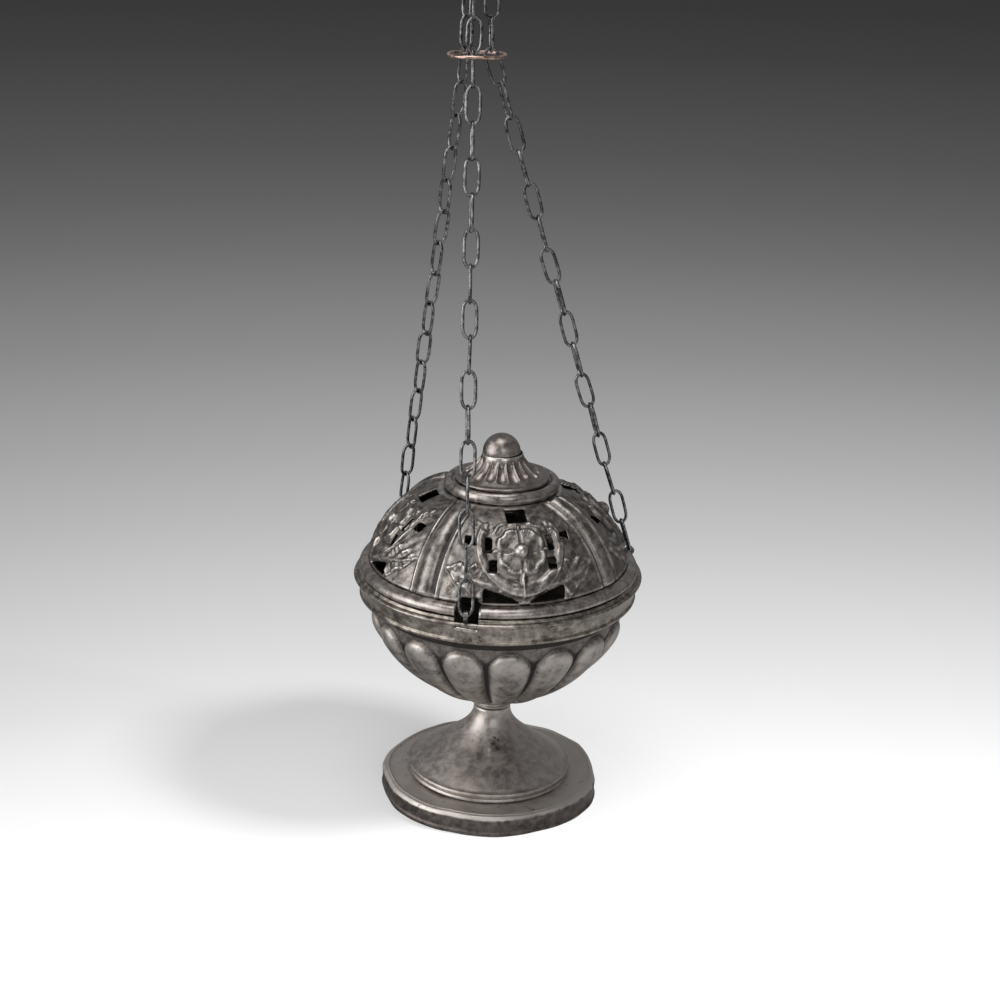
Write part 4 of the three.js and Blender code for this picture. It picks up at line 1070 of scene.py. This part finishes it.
def cut_clean(turn, along):
    """Slides the nearer end of each grid line that crosses a piercing's edge on to that edge."""
    distance = piercing_distance(turn, along, DOME.radius(along))
    best = np.full(turn.shape, 0.5)
    new_turn, new_along = turn.copy(), along.copy()
    rows = np.arange(len(turn))[:, None]
    for down, over in ((0, 1), (0, -1), (1, 0), (-1, 0)):
        other = np.roll(distance, (-down, -over), axis=(0, 1))
        whole = (rows + down >= 0) & (rows + down < len(turn))
        share = np.where(distance * other < 0, distance / np.where(distance == other, 1, distance - other), 9)
        nearer = whole & (share < best)
        across = apart(np.roll(turn, (-down, -over), axis=(0, 1)), turn)
        up = np.roll(along, (-down, -over), axis=(0, 1)) - along
        new_turn = np.where(nearer, turn + share * across, new_turn)
        new_along = np.where(nearer, along + share * up, new_along)
        best = np.where(nearer, share, best)
    return new_turn, new_along, best < 0.5


def open_faces(turn, along, radius, on_edge):
    """Which faces of the dome's grid lie in a piercing."""
    distance = np.where(on_edge, 0, piercing_distance(turn, along, radius))
    beside = np.roll(distance, -1, axis=1)
    total = distance[:-1] + distance[1:] + beside[:-1] + beside[1:]
    middle_turn = turn[:-1] + 180 / DOME_COLUMNS
    middle_along = (along[:-1] + along[1:]) / 2
    middle = piercing_distance(middle_turn, middle_along, DOME.radius(middle_along))
    return np.where(np.abs(total) > 1e-6, total, middle) < 0


def dome_sheet():
    """The dome's chased outer face, pierced, without its thickness."""
    skirt = np.linspace(DOME.foot, -0.6, 8)[:-1]
    face = np.linspace(-0.6, DOME.seat, DOME_ROWS)
    rows = np.concatenate((skirt, face, np.linspace(DOME.seat + 2, DOME.end, 4)))
    turn = np.repeat((np.arange(DOME_COLUMNS) * 360 / DOME_COLUMNS)[None, :], len(rows), axis=0)
    along = np.repeat(rows[:, None], DOME_COLUMNS, axis=1)
    turn, along, on_edge = cut_clean(turn, along)
    radius = DOME.radius(along)
    outward, upward = DOME.normal(along)
    lift = dome_relief(turn % 360, along, radius)
    reach_out = radius + lift * outward
    heights = DOME.height(along) + lift * upward
    angle = np.radians(turn)
    points = np.stack((reach_out * np.sin(angle), -reach_out * np.cos(angle), heights), axis=2)
    holes = open_faces(turn, along, radius, on_edge)
    faces = grid_faces(len(rows), DOME_COLUMNS, holes=holes)
    mesh = bpy.data.meshes.new("lid_dome")
    mesh.from_pydata((points.reshape(-1, 3) * MM).tolist(), [], faces)
    shell = bmesh.new()
    shell.from_mesh(mesh)
    bmesh.ops.delete(shell, geom=[v for v in shell.verts if not v.link_faces], context="VERTS")
    shell.to_mesh(mesh)
    shell.free()
    return mesh


def dome():
    mesh = dome_sheet()
    note_rise(mesh, passes=16)
    piece = loose_piece("lid_dome_sheet", mesh)
    wall = piece.modifiers.new("wall", "SOLIDIFY")
    wall.thickness = SHEET * MM
    wall.offset = -1
    wall.use_rim = True
    made = applied(piece)
    bpy.data.objects.remove(piece)
    finished("lid_dome", "chased", made, "lid", DOME_SILVER, passes=0)


# Crown: half-round ring, fluted cap and ball
CAP_BOTTOM = low("fluted_cap")
CAP_TOP = high("fluted_cap")
CAP_RADIUS = reach("fluted_cap")
CAP_FLUTES = 18
FLUTE_DEPTH = 1.0
FLUTE_END_RADIUS = 14.7
STUD_RADIUS = 1.6
CROWN_BORE = 16.6
CROWN_SHIFT = 0.8  # the crown sits a little to the right


def crown_ring():
    bottom, outer = low("crown_ring"), reach("crown_ring")
    ledge = bottom + 3.2
    crest = high("crown_ring") - 0.05
    half = 1.9
    arc = np.linspace(-0.25, 2.45, 16)
    bead = [(outer - half + half * math.cos(a), crest - 2.6 + 2.6 * math.sin(a)) for a in arc]
    foot = [(CROWN_BORE, bottom), (outer - 0.5, bottom), (outer - 0.25, bottom + 0.5)]
    outline = [*foot, *bead, (outer - 3.7, ledge), (CROWN_BORE, ledge)]

    def uneven(azimuths, radii, heights):
        wave = waves(azimuths, (0.14, 3, 0.5), (0.08, 8, 1)) * (radii > 18)
        return radii + wave, heights + waves(azimuths, (0.1, 5, 0)) * (heights > bottom + 0.4)

    mesh = mesh_of("crown_ring", *turned(ring_eased(outline, 0.2, 3), 208, shape=uneven))
    finished("crown_ring", "round", shifted(mesh, CROWN_SHIFT), "lid", MOULDING_SILVER)


def fluted_cap():
    bottom, top, outer = CAP_BOTTOM, CAP_TOP, CAP_RADIUS
    lip = bottom + 1.5
    edge = eased([
        (0, bottom + 1), *about(outer, bottom, (-1.7, 1), (-1.6, 0), (-0.4, 0), (0, 0.5)),
        *about(outer, lip, (-0.05, -0.3), (-0.7, 0), (-1.4, -0.05), (-2, 0.15)),
    ], 0.3, 3)
    slope = bezier((outer - 2.2, lip + 0.25), (13.4, lip + 1.6), (10.2, lip + 3), (7.95, top + 0.4), 40)
    collar = about(0, top, (7.8, 1.2), (7.55, 1.6), (7.35, 1.4), (7.25, 0), (0, -0.9))
    profile = [*edge[:-1], *slope, *collar]
    blank = mesh_of("cap_blank", *turned(profile, 432, closed=False))
    grower = Grower("flutes")
    shape, azimuth, radius, height = surface_fields(grower)
    count = grower.size("Flute count", float(CAP_FLUTES))
    depth = grower.size("Flute depth", FLUTE_DEPTH)
    start = grower.size("Flute end radius", FLUTE_END_RADIUS)
    turns = azimuth * count / (2 * math.pi)
    number = grower.math("ROUND", turns)
    across = abs(turns - number) * 2
    uneven = grower.math("SINE", number * 2.4) * 0.7
    reach_in = (start + uneven - radius) / 2.2
    beyond = grower.math("MAXIMUM", 1 - reach_in, 0)
    tongue = grower.math("MAXIMUM", 1 - across * across * 1.25 - beyond ** 2, 0)
    on_cone = grower.step(radius, 7.9, 8.7) * grower.step(height, lip + 0.2, lip + 0.8)
    cut = tongue ** 0.6 * depth * on_cone * grower.step(radius, 7.4, 11, 0.75, 1.0)
    shaped = push_out(grower, shape, azimuth, cut * -0.5, cut * -0.85)
    grower.close(shaped, CROWN_SILVER)
    mesh = grower.grow("fluted_cap", blank)
    mesh = shifted(mesh, CROWN_SHIFT)
    finished("fluted_cap", "chased", mesh, "lid", CROWN_SILVER, passes=16)


def finial_ball():
    radius = reach("finial_ball")
    middle = high("finial_ball") - radius
    stud = STUD_RADIUS
    start = math.asin(stud / radius)
    ball = [(radius * math.sin(a), middle - radius * math.cos(a)) for a in np.linspace(start, math.pi, 44)]
    ball[-1] = (0, middle + radius)
    foot = low("finial_ball")
    profile = [(0, foot), (stud - 0.3, foot), (stud, foot + 0.3), *ball]

    def uneven(azimuths, radii, heights):
        seam = 0.1 * np.exp(-((heights - middle + 0.6) / 0.3) ** 2) * (radii > 3)
        return radii * (1 + waves(azimuths, (0.006, 3, heights * 0.3))) - seam, heights

    mesh = mesh_of("finial_ball", *turned(profile, 112, closed=False, shape=uneven))
    finished("finial_ball", "round", shifted(mesh, CROWN_SHIFT / 2), "lid", CROWN_SILVER)


# Charcoal pan inside the bowl
def fire_pan():
    bottom, top, lip = low("fire_pan"), high("fire_pan"), reach("fire_pan")
    floor = 26
    outline = eased([
        (0, bottom), (floor, bottom), (floor + 4, bottom + 2), (lip - 2, top - SHEET),
        (lip, top - SHEET), (lip, top),
        (lip - 3.2, top), (floor + 2.8, bottom + 3.2), (floor - 0.6, bottom + SHEET), (0, bottom + SHEET),
    ], 0.7)
    mesh = mesh_of("fire_pan", *turned(outline, 128, closed=False))
    finished("fire_pan", "spun", mesh, "pan", PAN_IRON)


# Chains
EYE_RADIUS = FLANGE_RADIUS - 1.1
EYE_HEIGHT = RIM_TOP + 1.45
GATHER_RADIUS = 5.3
GATHER_HEIGHT = low("gather_ring") + 1.85  # the ring rests on the chains where they spread
GATHER_OFFSET = (box_of("top_plate")[0][0] + reach("top_plate")) / 2
EYE_WIRE_HOLE = 0.95
EYE_OUTER = 1.75
TOP_EYE_HEIGHT = low("plate_eye_front") + EYE_OUTER
LINK_WIRE = 0.6
LINK_WIDTH = 6.2
LINK_SWAY = (0.03, 0.03, 0.14)  # radians a link may lean about each axis
FIXED_STEP = 0.96  # overlap of two links in a run
FREE_STEP = 1.3  # overlap of two runs
RUN_LINKS = {"lower": 4, "middle": 12, "upper": 3}
RUN_BODIES = {"lower": "{}_lower_run", "middle": "{}_middle_run", "upper": "chain_head"}


def chain_points(azimuth):
    angle = math.radians(azimuth)
    outward = Vector((math.sin(angle), -math.cos(angle), 0))
    eye = outward * EYE_RADIUS + Vector((0, 0, EYE_HEIGHT))
    gather = outward * GATHER_RADIUS + Vector((GATHER_OFFSET, 0, GATHER_HEIGHT))
    top = outward * GATHER_RADIUS + Vector((GATHER_OFFSET, 0, TOP_EYE_HEIGHT))
    return eye, gather, top


def link_tree(count, length, seed):
    """Oval wire links in a row up the Z axis, each a quarter turn from the one before."""
    grower = Grower("links")
    wire = grower.size("Wire radius", LINK_WIRE * MM)
    bend = grower.size("Bend radius", (LINK_WIDTH / 2 - LINK_WIRE) * MM)
    half = grower.size("Half length", length / 2 * MM)
    links = grower.size("Links", count, "NodeSocketInt")
    pace = grower.size("Pace", (length - FIXED_STEP) * MM)
    random_seed = grower.size("Seed", seed, "NodeSocketInt")
    circle = grower.add("GeometryNodeCurvePrimitiveCircle", {"Resolution": 36, "Radius": bend})
    x, y, _ = grower.parts(grower.add("GeometryNodeInputPosition"))
    share = y / bend
    stretched = y + grower.math("SIGN", y) * (half - bend) * (abs(share) ** 0.25)
    bent = grower.add("ShaderNodeCombineXYZ", {0: x, 2: stretched + half})
    line = grower.add("GeometryNodeSetPosition", {"Geometry": circle, "Position": bent})
    section = grower.add("GeometryNodeCurvePrimitiveCircle", {"Resolution": 10, "Radius": wire})
    link = grower.add("GeometryNodeCurveToMesh", {"Curve": line, "Profile Curve": section})
    offset = grower.add("ShaderNodeCombineXYZ", {2: pace})
    row = grower.add("GeometryNodeMeshLine", {"Count": links, "Offset": offset})
    index = grower.add("GeometryNodeInputIndex")
    least = tuple(-angle for angle in LINK_SWAY)
    sockets = {0: least, 1: LINK_SWAY, 8: random_seed}
    sway = grower.add("FunctionNodeRandomValue", sockets, data_type="FLOAT_VECTOR")
    lean = grower.add("ShaderNodeCombineXYZ", {2: grower.math("MODULO", index, 2) * (math.pi / 2)})
    turn = grower.add("ShaderNodeVectorMath", {0: lean, 1: sway}, operation="ADD")
    sockets = {"Points": row, "Instance": link, "Rotation": turn}
    linked = grower.add("GeometryNodeInstanceOnPoints", sockets)
    grower.close(linked, CHAIN_WIRE)
    return grower


def chains():
    for number, (side, azimuth) in enumerate(CHAIN_AZIMUTHS.items()):
        eye, gather, top = chain_points(azimuth)
        slant = gather - eye
        direction = slant.normalized()
        inward = Vector((slant.x, slant.y, 0)).normalized()
        count = RUN_LINKS["lower"] + RUN_LINKS["middle"]
        length = (slant.length + (count - 2) * FIXED_STEP + 2 * FREE_STEP) / count
        kink = RUN_LINKS["lower"] * length - (RUN_LINKS["lower"] - 1) * FIXED_STEP - FREE_STEP
        upright = Vector((0, 0, 1))
        upper = (top.z - gather.z + (RUN_LINKS["upper"] - 1) * FIXED_STEP) / RUN_LINKS["upper"]
        runs = {
            "lower": (eye, direction, length),
            "middle": (eye + direction * kink, direction, length),
            "upper": (gather, upright, upper),
        }
        across = upright.cross(inward).normalized()
        for order, (run, (start, way, link)) in enumerate(runs.items()):
            grower = link_tree(RUN_LINKS[run], link, 7 * number + order)
            mesh = grower.grow(f"chain_{side}_{run}")
            depth = way.cross(across).normalized()
            basis = Matrix((across, depth, way)).transposed().to_4x4()
            mesh.transform(Matrix.Translation(start * MM) @ basis)
            body = RUN_BODIES[run].format(side)
            node = f"chain_{side}_{run}"
            finished(node, "links", mesh, body, CHAIN_WIRE, passes=0)


def swept_ring(centre, radius, wire, wobble=0.0, plane="XY", segments=96, sides=14):
    """A closed ring of round wire."""
    around = np.arange(segments) * 2 * math.pi / segments
    about = np.arange(sides) * 2 * math.pi / sides
    main = radius + waves(around, (wobble, 2, 0.7), (0.5 * wobble, 5, 0))
    away = main[:, None] + wire * np.cos(about)[None, :]
    level = wire * np.sin(about)[None, :] + wobble * np.sin(3 * around)[:, None]
    x = away * np.cos(around)[:, None]
    y = away * np.sin(around)[:, None]
    z = level + 0 * x
    order = {"XY": (x, y, z), "YZ": (z, x, y), "XZ": (x, z, y)}[plane]
    points = np.stack(order, axis=2).reshape(-1, 3) + np.array(centre)
    return points, grid_faces(segments, sides, closed_rows=True)


def gather_ring():
    near, far = box_of("gather_ring")
    wire = (far[2] - near[2]) / 2
    radius = (far[0] - near[0]) / 2 - wire
    ring = swept_ring((GATHER_OFFSET, 0, near[2] + wire), radius, wire, wobble=0.12)
    mesh = mesh_of("gather_ring", *ring)
    finished("gather_ring", "wire", mesh, "gathering_ring", RING_WIRE, passes=0)


# Head of the chains: plate, eyes, loop and hanging ring
PLATE_BOTTOM = low("top_plate")
PLATE_TOP = high("top_plate")
PLATE_RADIUS = reach("top_plate") - GATHER_OFFSET


def top_plate():
    outline = eased([
        (0, PLATE_BOTTOM), *about(PLATE_RADIUS, PLATE_BOTTOM, (-0.5, 0), (0, 0.5)),
        *about(PLATE_RADIUS, PLATE_TOP, (-0.2, -0.5), (-1.2, -0.1), (-2.1, -0.35), (-3, 0)),
        *about(0, PLATE_TOP, (3.4, 0.05), (0, 0)),
    ], 0.3)
    mesh = mesh_of("top_plate", *turned(outline, 128, closed=False))
    finished("top_plate", "turned", shifted(mesh, GATHER_OFFSET), "chain_head", CROWN_SILVER)


def plate_eyes():
    wire = (EYE_OUTER - EYE_WIRE_HOLE) / 2
    for side, azimuth in CHAIN_AZIMUTHS.items():
        top = chain_points(azimuth)[2]
        ring = swept_ring((0, 0, 0), EYE_OUTER - wire, wire, plane="XZ", segments=32, sides=10)
        turn = Matrix.Rotation(math.radians(azimuth) + math.pi / 2, 3, "Z")
        ring_points = [turn @ Vector(p) + top for p in ring[0]]
        start = top.z + EYE_WIRE_HOLE + 0.2
        head = about(0, PLATE_TOP, (0.9, 0.3), (1.7, 0.3), (1.5, 0.8), (0.8, 1.1), (0, 1.15))
        shank = eased([(0, start), (0.9, start), *head], 0.25, 3)
        shank_points, shank_faces = turned(shank, 24, closed=False)
        shank_points = shank_points + np.array((top.x, top.y, 0))
        node = f"plate_eye_{side}"
        mesh = mesh_of(node, *joined((ring_points, ring[1]), (shank_points, shank_faces)))
        finished(node, "bent", mesh, "chain_head", FITTING_SILVER)


def top_loop():
    near, far = box_of("top_loop")
    outer = (far[0] - near[0]) / 2
    wire = 0.55
    loop = swept_ring((0, 0, far[2] - outer), outer - wire, wire, plane="XZ", segments=64)
    foot = about(0, PLATE_BOTTOM, (0, -1.1), (1.9, -1), (2.4, -0.3), (1.5, -0.3))
    head = about(0, PLATE_TOP, (1.5, 0.3), (2.5, 0.3), (2.2, 1.1), (0.9, 1.5), (0, 1.5))
    shank = eased([*foot, *head], 0.3, 3)
    mesh = mesh_of("top_loop", *joined(loop, turned(shank, 40, closed=False)))
    finished("top_loop", "bent", shifted(mesh, GATHER_OFFSET), "chain_head", FITTING_SILVER)


def hanging_ring():
    near, far = box_of("hanging_ring")
    wire = (far[0] - near[0]) / 2
    radius = (far[1] - near[1]) / 2 - wire
    centre = (GATHER_OFFSET, 0, (near[2] + far[2]) / 2)
    mesh = mesh_of("hanging_ring", *swept_ring(centre, radius, wire, plane="YZ", segments=128, sides=18))
    finished("hanging_ring", "wire", mesh, "top_ring", CHAIN_WIRE, passes=0)


# Floor, background and light. The paper runs from white in front to dark grey far behind.
FLOOR_RADIUS_M = 7
CAMERA_FOOT = (CAMERA_PLACE[0], CAMERA_PLACE[1], 0)
# Distance from under the camera in metres, and the paper's tone there between 0 and 1 as it is displayed
PAPER_TONES = (
    (0.55, 1.0), (0.6, 0.985), (0.629, 0.965), (0.668, 0.935), (0.702, 0.912), (0.74, 0.876),
    (0.78, 0.844),
    (0.825, 0.814), (0.874, 0.785), (0.99, 0.721), (1.116, 0.667), (1.354, 0.582), (1.704, 0.488),
    (1.95, 0.438),
    (2.272, 0.391), (2.712, 0.351), (3.349, 0.304), (4.229, 0.273), (7, 0.22),
)
PAPER_SHARE = 0.5  # how much of its tone the paper shows by the lamps' light; it glows with the rest


def displayed(tone):
    """Turns a displayed tone into an amount of light."""
    return tone / 12.92 if tone < 0.04045 else ((tone + 0.055) / 1.055) ** 2.4


def add_floor():
    mesh = bpy.data.meshes.new("floor")
    count = 96
    turns = [2 * math.pi * i / count for i in range(count)]
    rim = [(FLOOR_RADIUS_M * math.cos(turn), FLOOR_RADIUS_M * math.sin(turn), 0) for turn in turns]
    mesh.from_pydata(rim, [], [range(count)])
    finish = Finish("floor_paper")
    share = finish.distance_to(CAMERA_FOOT) * (MM / FLOOR_RADIUS_M)
    tones = [(distance / FLOOR_RADIUS_M, displayed(tone)) for distance, tone in PAPER_TONES]
    lit = [(place, (light * PAPER_SHARE,) * 3) for place, light in tones]
    glow = [(place, (light * (1 - PAPER_SHARE),) * 3) for place, light in tones]
    paper = finish.add("ShaderNodeValToRGB", {0: share}, stops=lit)
    shine = finish.add("ShaderNodeValToRGB", {0: share}, stops=glow)
    to_camera = finish.add("ShaderNodeLightPath")
    shine = finish.tint(to_camera, (0.0, 0.0, 0.0), shine)
    paper = finish.add("ShaderNodeBsdfDiffuse", {"Color": paper})
    shine = finish.add("ShaderNodeEmission", {"Color": shine, "Strength": 1.0})
    surface = finish.add("ShaderNodeAddShader", {0: paper, 1: shine})
    finish.add("ShaderNodeOutputMaterial", {"Surface": surface})
    mesh.materials.append(finish.material)
    loose_piece("floor", mesh)


LAMP_AIM = (0, 0, 90)


def add_lamp(name, place, size, power, on_floor=True, on_silver=True):
    data = bpy.data.lights.new(name, "AREA")
    data.shape = "RECTANGLE"
    data.size, data.size_y = size
    data.energy = power
    lamp = bpy.data.objects.new(name, data)
    way = (Vector(LAMP_AIM) - Vector(place)) * MM
    turn = way.to_track_quat("-Z", "Y").to_matrix().to_4x4()
    lamp.matrix_world = Matrix.Translation(Vector(place) * MM) @ turn
    lamp.visible_diffuse = on_floor
    lamp.visible_glossy = on_silver
    bpy.context.scene.collection.objects.link(lamp)


def add_light():
    world = bpy.data.worlds.new("studio")
    world.use_nodes = True
    bpy.context.scene.world = world
    graph = Graph(world.node_tree)
    graph.tree.nodes.clear()
    sky = graph.add("ShaderNodeBackground", {"Color": (0.3, 0.3, 0.305, 1), "Strength": 1.0})
    graph.add("ShaderNodeOutputWorld", {"Surface": sky})
    add_lamp("shadow_light", (560, -150, 800), (0.2, 0.2), 9.8, on_silver=False)
    add_lamp("left_box", (-900, -380, 430), (0.9, 0.9), 9.0, on_floor=False)
    add_lamp("over_box", (-120, -150, 900), (0.5, 0.4), 3.0)
    add_lamp("front_box", (160, -800, 480), (0.35, 0.35), 1.2)


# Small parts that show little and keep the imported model's own solids
CARRIED_NODES = ["foot_screw", "foot_washer", "foot_nut", "crown_washer", "crown_nut"]
CARRIED_NODES += [f"chain_lug_{side}" for side in CHAIN_AZIMUTHS]


def finish_carried_nodes():
    for name in CARRIED_NODES:
        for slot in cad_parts[name].material_slots:
            slot.material = FITTING_SILVER


add_camera()
foot_base()
foot_cone()
neck_collar()
bowl()
rim_band()
fire_pan()
lid_mouldings()
dome()
crown_ring()
fluted_cap()
finial_ball()
chains()
gather_ring()
top_plate()
plate_eyes()
top_loop()
hanging_ring()
finish_carried_nodes()
add_floor()
add_light()
bpy.context.scene.view_settings.view_transform = "Standard"
